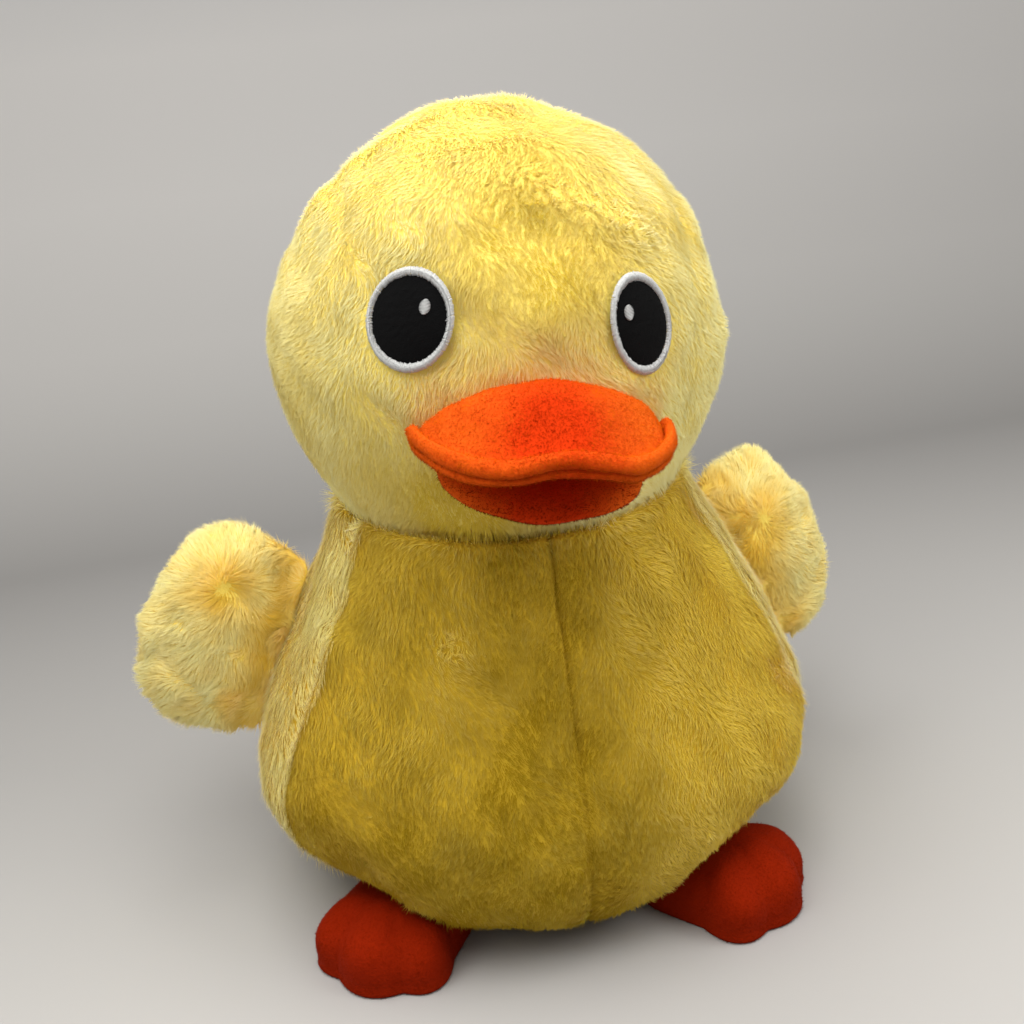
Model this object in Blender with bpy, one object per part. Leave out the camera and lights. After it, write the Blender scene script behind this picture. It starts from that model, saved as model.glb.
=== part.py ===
"""A sitting plush duck, sewn from pile fabric panels over loose stuffing.

Every panel is its own closed sheet, with a narrow seam gap to its neighbours, and lies over
a filling that it doesn't touch. The head is a ball that turns in a collar of the body, and the
beak, wings, feet and tail bend where they are sewn on.

Metres, +Z up. The duck faces -Y, so its left side is +X. The floor is z = 0.
"""
import math

import bmesh
import bpy
import numpy as np
from mathutils import Matrix, Vector

MM = 0.001
DEG = math.pi / 180

# Fabric and clearances
PLUSH = 3.0 * MM  # backing and the lower half of the pile
FLEECE = 2.2 * MM
SEAM_GAP = 0.3 * MM
FILL_GAP = 1.6 * MM  # from a skin to its filling
NECK_GAP = 0.8 * MM  # round the head's ball in its collar
WELD = 0.002 * MM
SEAM_SAMPLES = 400

# Body
BODY_WIDTH = 262 * MM
BODY_DEPTH = 222 * MM
BODY_FORWARD = 8 * MM  # the belly lies this far ahead of the neck
BASE_WIDTH = 124 * MM
NECK_SHARE = 0.7905  # of the collar's sphere that the neck opening spans
WIDEST_SHARE = 0.36
SHOULDER_ROUND_SHARE = 0.14
LOWER_ROWS_SHARE = 0.4
BELLY_SQUARENESS = 2.15
UNDERSIDE_SQUARENESS = 2.2
ROUND = 2.0
FOOT_DENT = 16 * MM  # the underside rises over each foot
FOOT_DENT_SPREAD = 26 * DEG
BODY_ROWS = 10
BELLY_SEAM = 71 * DEG  # from the front to the seam of belly and side
BACK_SEAM = 105 * DEG
BELLY_COLUMNS = 7
SIDE_COLUMNS = 3
FILLING_COLUMNS = 24
PELLET_WIDTH = 96 * MM
PELLET_HEIGHT = 26 * MM
PELLET_ROWS = 5
DISH_ROWS = 4

# Head
HEAD_HEIGHT = 260 * MM  # of its centre above the floor
HEAD_BALL_RADIUS = 98.5 * MM
CHEEK_FLATTENING = 1 * MM  # how far the head departs from its ball above the neck
BACK_FLATTENING = 4.5 * MM
FACE_BULGE = 0.5 * MM
CROWN_BULGE = 0.5 * MM
HEAD_ROLL = 7.7 * DEG  # the head leans to the duck's left
HEAD_TURN = -3.5 * DEG
BALL_END = 66 * DEG  # from straight down: the skin is a true ball below it
BULGE_END = 104 * DEG
NECK_TUCK = 12 * DEG  # skin hidden inside the collar
CHEEK_SEAM_SHARE = 0.72
GUSSET_COLUMNS = 10
GUSSET_ROWS = 10
CHEEK_ROWS = 4
PLUG_SPREAD = 28 * DEG
PLUG_DEPTH = 50 * MM
PLUG_ROUND_SHARE = 0.3

# Eyes
LEFT_EYE_WIDTH = 31 * MM  # sewn narrower than the other one
RIGHT_EYE_WIDTH = 35.6 * MM
EYE_HEIGHT = 39.6 * MM
EYE_RIM_WIDTH = 2.3 * MM
EYE_RIM_HEIGHT = 3.2 * MM
LEFT_EYE_AZIMUTH = 27 * DEG
RIGHT_EYE_AZIMUTH = 29.5 * DEG
EYE_ELEVATION = 17 * DEG
FELT = 0.8 * MM
STITCHES = 1.5 * MM
GLINT_WIDTH = 4 * MM
GLINT_HEIGHT = 5.2 * MM
GLINT_IN = 6 * MM
GLINT_UP = 5.4 * MM
EYE_COLUMNS = 24
EYE_ROWS = 4

# Beak
BEAK_TURN = 2.5 * DEG  # sewn a little to the duck's left
BEAK_SPREAD = 28.5 * DEG
BEAK_TOP_ELEVATION = 6 * DEG
BEAK_CORNER_ELEVATION = -9 * DEG
BEAK_MOUTH_ELEVATION = -10 * DEG
BEAK_WIDTH_SHARE = 1.035  # of the ball's radius
BEAK_CORNER_BACK = 11.5 * MM  # behind the front of the ball
UPPER_BEAK_LENGTH = 45.5 * MM  # ahead of the front of the ball
LIP_MIDDLE_DROP = 2 * MM
LIP_LOBE_DROP = 15 * MM
LIP_CORNER_DROP = 13 * MM
LIP_LOBE_SHARE = 0.4
LIP_ROUNDNESS = 0.8
FLANGE_SHARE = 0.84
UPPER_PUFF = 5 * MM
LOWER_WIDTH_SHARE = 0.812
LOWER_BEAK_LENGTH = 23.5 * MM
LOWER_TOP_ELEVATION = -13 * DEG
LOWER_CORNER_ELEVATION = -13 * DEG
LOWER_ROOT_ELEVATION = -25 * DEG
LOWER_ROOT_MARGIN = 1 * DEG
LOWER_SPREAD = 22 * DEG
LOWER_CORNER_BACK = 4.5 * MM
LOWER_LIP_SHARE = 0.355  # of the ball's radius, below its centre
LOWER_LIP_CORNER_SHARE = 0.264
LOWER_PUFF = 2.5 * MM
BEAK_ROWS = 7
BEAK_COLUMNS = 14

# Flaps: wings and tail
FLAP_ROOT_SHARE = 0.2  # of the rows, round the hinge
FLAP_PEAK_SHARE = 0.5  # of the length, where a flap is fullest

# Wings
WING_LENGTH = 64 * MM
WING_HEIGHT = 111 * MM
WING_THICKNESS = 40 * MM
WING_ROOT_HEIGHT = 84 * MM
WING_ROOT_RADIUS = 7 * MM
WING_SEAT = 0.6 * MM  # the panel it lies against is flatter than the curve by this much
WING_ANGLE = 102 * DEG  # round the body from its front
LEFT_WING_SWEEP = 34 * DEG  # backwards from straight out
RIGHT_WING_SWEEP = 20 * DEG
LEFT_WING_SHARE = 0.575  # height of the seam's middle on the body
RIGHT_WING_SHARE = 0.60
WING_DROOP = 13 * MM  # of the tip below the root
WING_ROWS = 10
WING_COLUMNS = 8

# Feet
FOOT_LENGTH = 76 * MM
FOOT_WIDTH = 75 * MM
FOOT_SQUARENESS = 2.3
FOOT_THICKNESS = 30 * MM
FOOT_ROOT_THICKNESS = 19 * MM
FOOT_HINGE_HEIGHT = 6 * MM
FOOT_TUCK = 12 * MM  # of the heel under the body, behind the hinge
FOOT_SWELL_SHARE = 0.5
FOOT_DOME_SQUARENESS = 2.3
FOOT_FLEX = 12 * DEG
FOOT_ROOM_STEPS = 3  # positions of the flex at which a foot is fitted to the body
LEFT_FOOT_ANGLE = 42 * DEG
RIGHT_FOOT_ANGLE = 55 * DEG
LEFT_FOOT_SPLAY = 42 * DEG
RIGHT_FOOT_SPLAY = 34 * DEG
TOE_PERIOD = 54 * DEG
TOE_DEPTH_SHARE = 0.16
TOE_ROUNDNESS = 0.6
FOOT_RINGS = 4
FOOT_COLUMNS = 40

# Tail
TAIL_LENGTH = 50 * MM
TAIL_WIDTH = 60 * MM
TAIL_ROOT_WIDTH = 48 * MM
TAIL_THICKNESS = 26 * MM
TAIL_DROOP = 0 * MM
TAIL_LIFT = 24 * DEG
TAIL_ROOT_RADIUS = 6 * MM
TAIL_ROW_SHARE = 0.36
TAIL_ROWS = 8
TAIL_COLUMNS = 8

COLLAR_RADIUS = HEAD_BALL_RADIUS + NECK_GAP
NECK_WIDTH = 2 * NECK_SHARE * COLLAR_RADIUS

COLOURS = {
    "belly_plush": ((0.62, 0.42, 0.07), 0.9),
    "side_plush": ((0.80, 0.64, 0.22), 0.9),
    "back_plush": ((0.72, 0.53, 0.13), 0.9),
    "head_plush": ((0.76, 0.66, 0.24), 0.9),
    "wing_plush": ((0.86, 0.63, 0.20), 0.9),
    "beak_fleece": ((0.82, 0.09, 0.01), 0.85),
    "foot_fleece": ((0.62, 0.06, 0.01), 0.85),
    "eye_felt": ((0.01, 0.01, 0.012), 0.8),
    "eye_thread": ((0.86, 0.87, 0.88), 0.45),
    "stuffing": ((0.9, 0.9, 0.88), 1.0),
    "pellet_cloth": ((0.75, 0.74, 0.7), 0.95),
}

for leftover in list(bpy.data.objects):
    bpy.data.objects.remove(leftover, do_unlink=True)


def fabric(slot):
    """The material of a slot, made when it is first asked for."""
    if slot in bpy.data.materials:
        return bpy.data.materials[slot]
    colour, roughness = COLOURS[slot]
    material = bpy.data.materials.new(slot)
    material.use_nodes = True
    shader = material.node_tree.nodes["Principled BSDF"]
    shader.inputs["Base Color"].default_value = (*colour, 1)
    shader.inputs["Roughness"].default_value = roughness
    shader.inputs["Metallic"].default_value = 0
    material.diffuse_color = (*colour, 1)
    return material


def pivot(name, place, turn=None, parent=None):
    """An empty on a joint's axis, or at the frame that pieces share."""
    empty = bpy.data.objects.new(name, None)
    bpy.context.scene.collection.objects.link(empty)
    empty.parent = parent
    empty.matrix_local = Matrix.Translation(place) @ (turn.to_4x4() if turn else Matrix())
    return empty


def piece(name, points, faces, slot, parent=None):
    """An object of welded, outward-facing triangles."""
    shape = bmesh.new()
    corners = [shape.verts.new(point) for point in points]
    for face in faces:
        shape.faces.new([corners[index] for index in face])
    bmesh.ops.remove_doubles(shape, verts=shape.verts, dist=WELD)
    bmesh.ops.dissolve_degenerate(shape, edges=shape.edges, dist=WELD)
    bmesh.ops.recalc_face_normals(shape, faces=shape.faces)
    if shape.calc_volume(signed=True) < 0:
        bmesh.ops.reverse_faces(shape, faces=shape.faces)
    bmesh.ops.triangulate(shape, faces=shape.faces)
    mesh = bpy.data.meshes.new(name)
    shape.to_mesh(mesh)
    shape.free()
    mesh.materials.append(fabric(slot))
    mesh.shade_smooth()
    thing = bpy.data.objects.new(name, mesh)
    bpy.context.scene.collection.objects.link(thing)
    thing.parent = parent
    return thing


def quads(index):
    """The four-cornered faces of a grid of point numbers."""
    low, high = index[:-1], index[1:]
    return np.stack([low[:, :-1], high[:, :-1], high[:, 1:], low[:, 1:]], axis=-1).reshape(-1, 4)


def sheet(name, outer, inner, slot, parent=None, closed=False):
    """A panel between two grids of points, with a rim round it where a grid is open."""
    rows, columns = outer.shape[:2]
    index = np.arange(rows * columns).reshape(rows, columns)
    if closed:
        index = np.hstack([index, index[:, :1]])
    far = index + rows * columns
    faces = [quads(index), quads(far)[:, ::-1]]
    for row in (0, -1):
        if np.ptp(outer[row], axis=0).max() > WELD:
            faces.append(quads(np.stack([index[row], far[row]])))
    if not closed:
        for column in (0, -1):
            faces.append(quads(np.stack([index[:, column], far[:, column]])))
    points = np.concatenate([outer.reshape(-1, 3), inner.reshape(-1, 3)])
    return piece(name, points.tolist(), np.concatenate(faces).tolist(), slot, parent)


def loft(name, rings, slot, parent=None):
    """A solid through rings of points, closed by its first and last rings or poles."""
    rows, columns = rings.shape[:2]
    index = np.arange(rows * columns).reshape(rows, columns)
    index = np.hstack([index, index[:, :1]])
    faces = quads(index).tolist()
    for row in (0, -1):
        if np.ptp(rings[row], axis=0).max() > WELD:
            faces.append(index[row, :-1].tolist())
    return piece(name, rings.reshape(-1, 3).tolist(), faces, slot, parent)


def turned(name, profile, slot, parent=None):
    """A solid of revolution round Z through a profile of (radius, height) pairs."""
    angle = np.arange(FILLING_COLUMNS) * 2 * math.pi / FILLING_COLUMNS
    profile = np.array(profile)
    radius, height = profile[:, :1], profile[:, 1:]
    rings = np.stack([radius * np.sin(angle), -radius * np.cos(angle), height + 0 * angle], axis=-1)
    return loft(name, rings, slot, parent)


def cut(thing, cutter):
    """Takes the cutter's shape out of a piece."""
    modifier = thing.modifiers.new("fit_" + cutter.name, "BOOLEAN")
    modifier.operation = "DIFFERENCE"
    modifier.solver = "EXACT"
    modifier.object = cutter


def hide_cutter(cutter):
    """Marks a shape that only cuts others."""
    cutter.hide_render = True
    cutter.display_type = "WIRE"
    return cutter


def smooth(share):
    """A rise from 0 to 1 with level ends."""
    share = np.clip(share, 0, 1)
    return share * share * (3 - 2 * share)


def power(value, exponent):
    """A power that keeps its sign."""
    return np.sign(value) * np.abs(value) ** exponent


# Body


def neck_edge_height(inset):
    """Height of the body's top edge, which lies on the collar's sphere round the head."""
    return HEAD_HEIGHT - math.sqrt(COLLAR_RADIUS**2 - (NECK_WIDTH / 2 - inset) ** 2)


def body_sections(shares, inset):
    """Half width, half depth, shift, height and squareness of the body at these row shares."""
    shares = np.asarray(shares, float)
    widest = WIDEST_SHARE * neck_edge_height(0)
    angle = np.clip(shares / LOWER_ROWS_SHARE, 0, 1) * math.pi / 2
    climb = np.clip((shares - LOWER_ROWS_SHARE) / (1 - LOWER_ROWS_SHARE), 0, 1)
    knee = SHOULDER_ROUND_SHARE
    taper = 1 - (np.sqrt(climb**2 + knee**2) - knee) / (math.sqrt(1 + knee**2) - knee)
    belly = np.where(shares < LOWER_ROWS_SHARE, np.sin(angle) ** (2 / UNDERSIDE_SQUARENESS), taper)
    rise = 1 - np.cos(angle) ** (2 / UNDERSIDE_SQUARENESS)
    low_edge = np.where(shares < LOWER_ROWS_SHARE, BASE_WIDTH / 2, NECK_WIDTH / 2 - inset)
    half_width = low_edge + (BODY_WIDTH / 2 - inset - low_edge) * belly
    half_depth = low_edge + (BODY_DEPTH / 2 - inset - low_edge) * belly
    height = inset + (widest - inset) * rise + (neck_edge_height(inset) - widest) * climb
    squareness = ROUND + (BELLY_SQUARENESS - ROUND) * belly
    return half_width, half_depth, -BODY_FORWARD * belly, height, squareness


def body_points(angle, shares, inset=0):
    """Grid of points at angles from the body's front (one column each, or one row a share)."""
    half_width, half_depth, shift, height, squareness = (
        value[:, None] for value in body_sections(shares, inset)
    )
    lower = np.clip(np.asarray(shares, float)[:, None] / LOWER_ROWS_SHARE, 0, 1)
    turned_left = np.sin(angle) > 0
    off_front = np.arccos(np.clip(np.cos(angle), -1, 1))
    beside = (off_front - np.where(turned_left, LEFT_FOOT_ANGLE, RIGHT_FOOT_ANGLE)) / FOOT_DENT_SPREAD
    height = height + FOOT_DENT * np.sin(lower * math.pi) * np.exp(-(beside**2))
    x = half_width * power(np.sin(angle), 2 / squareness)
    y = shift - half_depth * power(np.cos(angle), 2 / squareness)
    return np.stack(np.broadcast_arrays(x, y, height), axis=-1)


def body_panel(name, first, last, columns, slot):
    """A panel of the body between two seam angles."""
    shares = np.linspace(0, 1, BODY_ROWS + 1)
    margin = (SEAM_GAP / 2 / body_sections(shares, 0)[0])[:, None]
    spread = np.linspace(0, 1, columns + 1)
    angle = first + margin + (last - first - 2 * margin) * spread
    sheet(name, body_points(angle, shares), body_points(angle, shares, PLUSH), slot)


def body_cutter_points():
    """Rings just outside the body's skin, for pieces that lie against it."""
    shares = np.linspace(0, 1, 2 * BODY_ROWS + 1)
    angle = np.arange(2 * FILLING_COLUMNS) * math.pi / FILLING_COLUMNS
    return body_points(angle[None, :] + 0 * shares[:, None], shares, -SEAM_GAP)


def body_outer(angle, height):
    """Point, outward normal and upward tangent of the body's skin at an angle and a height."""
    shares = np.linspace(0, 1, SEAM_SAMPLES)
    row = float(np.interp(height, body_points(np.array([angle]), shares)[:, 0, 2], shares))
    step = 1 / SEAM_SAMPLES
    here, above = body_points(np.array([angle]), np.array([row, row + step]))[:, 0]
    beside = body_points(np.array([angle + step]), np.array([row]))[0, 0]
    up = Vector(above - here).normalized()
    along = Vector(beside - here).normalized()
    normal = along.cross(up).normalized()
    return Vector(here), normal, up


def make_body():
    """Six upright panels, a round base panel and what they hold."""
    for name, first, last, columns, slot in (
        ("belly_left", 0, BELLY_SEAM, BELLY_COLUMNS, "belly_plush"),
        ("side_left", BELLY_SEAM, BACK_SEAM, SIDE_COLUMNS, "side_plush"),
        ("back_left", BACK_SEAM, math.pi, BELLY_COLUMNS, "back_plush"),
        ("belly_right", -BELLY_SEAM, 0, BELLY_COLUMNS, "belly_plush"),
        ("side_right", -BACK_SEAM, -BELLY_SEAM, SIDE_COLUMNS, "side_plush"),
        ("back_right", -math.pi, -BACK_SEAM, BELLY_COLUMNS, "back_plush"),
    ):
        body_panel(name, first, last, columns, slot)
    base = BASE_WIDTH / 2 - SEAM_GAP
    turned("base_panel", [(0, 0), (base, 0), (base, PLUSH), (0, PLUSH)], "belly_plush")
    make_body_filling()


def make_body_filling():
    """Stuffing with a dish for the head, a pocket for the neck and a hollow for the pellets."""
    inset = PLUSH + FILL_GAP
    angle = np.arange(FILLING_COLUMNS) * 2 * math.pi / FILLING_COLUMNS
    shares = np.linspace(0, 1, BODY_ROWS + 1)
    wall = body_points(angle[None, :] + 0 * shares[:, None], shares, inset)
    collar = (NECK_WIDTH / 2 - inset) / COLLAR_RADIUS
    dish_radius = COLLAR_RADIUS + FILL_GAP
    plug = plug_radius() + NECK_GAP
    dish = np.linspace(math.asin(collar), math.asin(plug / dish_radius), DISH_ROWS)
    floor = HEAD_HEIGHT - HEAD_BALL_RADIUS * math.cos(PLUG_SPREAD) - PLUG_DEPTH - NECK_GAP
    wall[-1] = ring(dish_radius * math.sin(dish[0]), HEAD_HEIGHT - dish_radius * math.cos(dish[0]))
    inward = [
        ring(dish_radius * math.sin(polar), HEAD_HEIGHT - dish_radius * math.cos(polar))
        for polar in dish[1:]
    ]
    inward += [ring(plug, floor), ring(0, floor)]
    hollow = [ring(radius, height) for radius, height in pellet_profile(FILL_GAP)]
    loft("body_filling", np.concatenate([hollow, wall, inward]), "stuffing")
    turned("pellet_bag", [(0, PLUSH + SEAM_GAP)] + pellet_profile(0)[::-1], "pellet_cloth")


def ring(radius, height):
    """One level ring of points round Z."""
    angle = np.arange(FILLING_COLUMNS) * 2 * math.pi / FILLING_COLUMNS
    return np.stack([radius * np.sin(angle), -radius * np.cos(angle), height + 0 * angle], axis=-1)


def pellet_profile(grow):
    """The pellet bag's dome from its top to its foot, as (radius, height) pairs."""
    angle = np.linspace(0, math.pi / 2, PELLET_ROWS)
    radius = (PELLET_WIDTH / 2 + grow) * np.sin(angle)
    height = PLUSH + max(grow, SEAM_GAP) + (PELLET_HEIGHT + grow) * np.cos(angle)
    return list(zip(radius.tolist(), height.tolist()))


# Head


def head_reach(direction, inset=0):
    """Distance from the head's centre to its skin: a ball at the neck, fuller shapes above."""
    x, y, z = direction[..., 0], direction[..., 1], direction[..., 2]
    half_width = HEAD_BALL_RADIUS - CHEEK_FLATTENING
    depth = HEAD_BALL_RADIUS + np.where(y < 0, FACE_BULGE, -BACK_FLATTENING)
    height = HEAD_BALL_RADIUS + CROWN_BULGE
    shape = 1 / np.sqrt((x / half_width) ** 2 + (y / depth) ** 2 + (z / height) ** 2)
    start, end = math.cos(BALL_END), math.cos(BULGE_END)
    share = smooth((start + z) / (start - end))
    return HEAD_BALL_RADIUS + (shape - HEAD_BALL_RADIUS) * share - inset


def head_points(direction, inset=0):
    """Points of the head's skin in these directions."""
    direction = direction / np.linalg.norm(direction, axis=-1, keepdims=True)
    return direction * head_reach(direction, inset)[..., None]


def neck_polar():
    """Angle at the head's centre from straight down to the collar's edge."""
    return math.asin(NECK_WIDTH / 2 / COLLAR_RADIUS)


def gusset_directions(facing):
    """Grid of directions over the middle strip of the head, from the neck to the crown."""
    margin = SEAM_GAP / 2 / HEAD_BALL_RADIUS
    edge = math.asin(CHEEK_SEAM_SHARE) - margin
    lean = np.linspace(-edge, edge, GUSSET_COLUMNS + 1)[None, :]
    top = math.pi / 2 - margin / np.cos(lean)
    hole = np.cos(neck_polar() - NECK_TUCK) / np.cos(lean)
    bottom = np.maximum(-np.arcsin(np.clip(hole, 0, 1)), -top)
    share = np.linspace(0, 1, GUSSET_ROWS + 1)[:, None]
    climb = bottom + (top - bottom) * share
    across = np.broadcast_to(np.sin(lean), climb.shape)
    ahead = facing * np.cos(lean) * np.cos(climb)
    return np.stack([across, ahead, np.cos(lean) * np.sin(climb)], axis=-1)


def cheek_directions(side):
    """Grid of directions over the cap at one side of the head, from its middle outwards."""
    margin = SEAM_GAP / 2 / HEAD_BALL_RADIUS
    edge = math.acos(CHEEK_SEAM_SHARE) - margin
    tilt = np.linspace(0, edge, CHEEK_ROWS + 1)[:, None]
    turn = (np.arange(2 * GUSSET_ROWS) * math.pi / GUSSET_ROWS - math.pi / 2)[None, :]
    across = side * np.cos(tilt) + 0 * turn
    return np.stack([across, -np.sin(tilt) * np.cos(turn), np.sin(tilt) * np.sin(turn)], axis=-1)


def plug_radius():
    """Radius of the neck's stuffing."""
    return (HEAD_BALL_RADIUS - PLUSH) * math.sin(PLUG_SPREAD)


def make_head(head):
    """Skins and filling of the head, in the frame of its centre."""
    for name, facing in (("head_face_gusset", -1), ("head_back_gusset", 1)):
        grid = gusset_directions(facing)
        sheet(name, head_points(grid), head_points(grid, PLUSH), "head_plush", head)
    for name, side in (("cheek_left", 1), ("cheek_right", -1)):
        grid = cheek_directions(side)
        sheet(name, head_points(grid), head_points(grid, PLUSH), "head_plush", head, closed=True)
    core = head_points(ball_directions(FILLING_COLUMNS), PLUSH + FILL_GAP)
    loft("head_filling", core, "stuffing", head)


def ball_directions(columns):
    """Directions in level rings, from straight down to straight up."""
    polar = np.linspace(0, math.pi, columns // 2 + 1)[:, None]
    angle = (np.arange(columns) * 2 * math.pi / columns)[None, :]
    ahead = -np.sin(polar) * np.cos(angle)
    return np.stack([np.sin(polar) * np.sin(angle), ahead, -np.cos(polar) + 0 * angle], axis=-1)


def make_neck(neck):
    """Stuffing pushed through the neck opening: it turns with the head but doesn't nod."""
    top = HEAD_BALL_RADIUS - PLUSH - FILL_GAP + NECK_GAP
    polar = np.linspace(0, PLUG_SPREAD, DISH_ROWS)
    dish = [(top * math.sin(angle), -top * math.cos(angle)) for angle in polar]
    radius = dish[-1][0]
    floor = -HEAD_BALL_RADIUS * math.cos(PLUG_SPREAD) - PLUG_DEPTH
    soft = PLUG_ROUND_SHARE * radius
    corner = soft * (1 - math.sqrt(1 / 2))
    foot = [(radius, floor + soft), (radius - corner, floor + corner), (radius - soft, floor), (0, floor)]
    turned("neck_filling", dish + foot, "stuffing", neck)


def make_eyes(head):
    """Felt discs with a satin-stitched rim and a stitched glint, laid on the face."""
    for name, side, azimuth, width in (
        ("left", 1, LEFT_EYE_AZIMUTH, LEFT_EYE_WIDTH),
        ("right", -1, RIGHT_EYE_AZIMUTH, RIGHT_EYE_WIDTH),
    ):
        middle = Vector((
            side * math.sin(azimuth) * math.cos(EYE_ELEVATION),
            -math.cos(azimuth) * math.cos(EYE_ELEVATION),
            math.sin(EYE_ELEVATION),
        ))
        across = Vector((0, 0, 1)).cross(middle).normalized()
        frame = [np.array(axis) for axis in (middle, across, middle.cross(across))]
        nothing = np.zeros(2)
        whole = np.array((width / 2, EYE_HEIGHT / 2))
        rim = whole - (EYE_RIM_WIDTH, EYE_RIM_HEIGHT)
        glint = np.array((GLINT_WIDTH / 2, GLINT_HEIGHT / 2))
        place = np.array((-side * GLINT_IN, GLINT_UP))
        lift = 2 * SEAM_GAP + FELT
        for part, offset, inside, outside, seat, thickness, slot in (
            ("eye_black_", nothing, nothing, rim - SEAM_GAP, SEAM_GAP, FELT, "eye_felt"),
            ("eye_ring_", nothing, rim, whole, SEAM_GAP, STITCHES, "eye_thread"),
            ("eye_glint_", place, nothing, glint, lift, FELT, "eye_thread"),
        ):
            direction = eye_directions(frame, offset, inside, outside)
            top = head_points(direction, -seat - thickness)
            sheet(part + name, top, head_points(direction, -seat), slot, head, closed=True)


def eye_directions(frame, place, inside, outside):
    """Directions over an oval, or an oval ring, beside the middle of an eye."""
    middle, across, up = frame
    turn = (np.arange(EYE_COLUMNS) * 2 * math.pi / EYE_COLUMNS)[None, :]
    share = np.linspace(0, 1, EYE_ROWS)[:, None]
    half_width = inside[0] + (outside[0] - inside[0]) * share
    half_height = inside[1] + (outside[1] - inside[1]) * share
    x = (place[0] + half_width * np.cos(turn))[..., None] / HEAD_BALL_RADIUS
    z = (place[1] + half_height * np.sin(turn))[..., None] / HEAD_BALL_RADIUS
    return middle + x * across + z * up


# Beak


def face_point(azimuth, elevation, lift=0):
    """Points on the face at an azimuth from the front and an elevation from the centre."""
    level = np.cos(elevation)
    ahead = -np.cos(azimuth) * level
    direction = np.stack([np.sin(azimuth) * level, ahead, np.sin(elevation) + 0 * azimuth], axis=-1)
    return head_points(direction, -lift)


def beak_surfaces(rows, across, roots, lip, puff):
    """Middle surface and half thickness of a beak half, from inside the face to its lip."""
    share = rows[:, None, None]
    top, bottom = roots
    middle = (top + bottom) / 2
    body = np.clip(1 - rows / FLANGE_SHARE, 0, None)[:, None]
    root_half = (top - bottom)[None, :, 2] / 2
    swell = np.sin(np.clip(rows / FLANGE_SHARE, 0, 1) * math.pi)[:, None]
    breadth = np.clip(1 - across**2, 0, None)[None, :]
    rim = FLEECE + SEAM_GAP / 2
    half = rim + np.maximum(root_half - rim, 0) * smooth(body) + puff * swell * np.sqrt(breadth)
    return middle[None] * (1 - share) + lip[None] * share, half


def beak_half(prefix, roots, lip, puff, parent, cutter):
    """Two fleece panels and the filling between them, trimmed where they meet the face."""
    rows = np.linspace(-1 / BEAK_ROWS, 1, BEAK_ROWS + 2)
    across = np.linspace(-1, 1, BEAK_COLUMNS + 1)
    middle, half = beak_surfaces(rows, across, roots, lip, puff)
    for name, side in (("_top", 1), ("_underside", -1)):
        outer = middle.copy()
        outer[..., 2] += side * half
        inner = middle.copy()
        inner[..., 2] += side * np.maximum(half - FLEECE, SEAM_GAP / 2)
        cut(sheet(prefix + name, outer, inner, "beak_fleece", parent), cutter)
    inside = half - FLEECE - SEAM_GAP
    last_row = int(FLANGE_SHARE * BEAK_ROWS)
    filled = (slice(0, last_row), slice(2, -2))
    outer, inner = middle[filled].copy(), middle[filled].copy()
    outer[..., 2] += np.maximum(inside[filled], SEAM_GAP)
    inner[..., 2] -= np.maximum(inside[filled], SEAM_GAP)
    cut(sheet(prefix + "_filling", outer, inner, "stuffing", parent), cutter)


def make_beak(upper, lower, cutter, hinge_upper, hinge_lower):
    """Upper and lower beak, in frames whose origins lie on their hinges."""
    across = np.linspace(-1, 1, BEAK_COLUMNS + 1)
    arch = BEAK_CORNER_ELEVATION + (BEAK_TOP_ELEVATION - BEAK_CORNER_ELEVATION) * (1 - across**2)
    mouth = BEAK_MOUTH_ELEVATION + 0 * across
    turn = across * math.pi / 2
    roots = (face_point(across * BEAK_SPREAD, arch), face_point(across * BEAK_SPREAD, mouth))
    wave = np.sin(np.clip(np.abs(across) / LIP_LOBE_SHARE, 0, 1) * math.pi / 2) ** 2
    end = smooth((np.abs(across) - LIP_LOBE_SHARE) / (1 - LIP_LOBE_SHARE))
    drop = LIP_MIDDLE_DROP + (LIP_LOBE_DROP - LIP_MIDDLE_DROP) * wave
    drop = drop + (LIP_CORNER_DROP - LIP_LOBE_DROP) * end
    reach = np.cos(turn) ** LIP_ROUNDNESS
    forward = HEAD_BALL_RADIUS - BEAK_CORNER_BACK + (UPPER_BEAK_LENGTH + BEAK_CORNER_BACK) * reach
    half_width = BEAK_WIDTH_SHARE * HEAD_BALL_RADIUS / 2
    lip = np.stack([half_width * np.sin(turn), -forward, -drop], axis=-1) - hinge_upper
    beak_half("upper_beak", [root - hinge_upper for root in roots], lip, UPPER_PUFF, upper, cutter)
    low = LOWER_CORNER_ELEVATION + (LOWER_ROOT_ELEVATION - LOWER_CORNER_ELEVATION) * (1 - across**2)
    roots = (
        face_point(across * LOWER_SPREAD, LOWER_TOP_ELEVATION + 0 * across),
        face_point(across * LOWER_SPREAD, low - LOWER_ROOT_MARGIN),
    )
    forward = HEAD_BALL_RADIUS - LOWER_CORNER_BACK + (LOWER_BEAK_LENGTH + LOWER_CORNER_BACK) * reach
    low_share = LOWER_LIP_CORNER_SHARE + (LOWER_LIP_SHARE - LOWER_LIP_CORNER_SHARE) * np.cos(turn)
    half_width = LOWER_WIDTH_SHARE * HEAD_BALL_RADIUS / 2
    drop = low_share * HEAD_BALL_RADIUS
    lip = np.stack([half_width * np.sin(turn), -forward, -drop], axis=-1) - hinge_lower
    beak_half("lower_beak", [root - hinge_lower for root in roots], lip, LOWER_PUFF, lower, cutter)


# Wings, feet and tail


def bulge(along, root, peak, peak_at, length):
    """Half size along a flap: root at its hinge, most at peak_at and nothing at its tip."""
    near = peak_at / math.sqrt(1 - (root / peak) ** 2)
    far = length - peak_at
    reach = np.where(along < peak_at, near, far)
    return peak * np.sqrt(np.clip(1 - ((along - peak_at) / reach) ** 2, 0, None))


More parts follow.
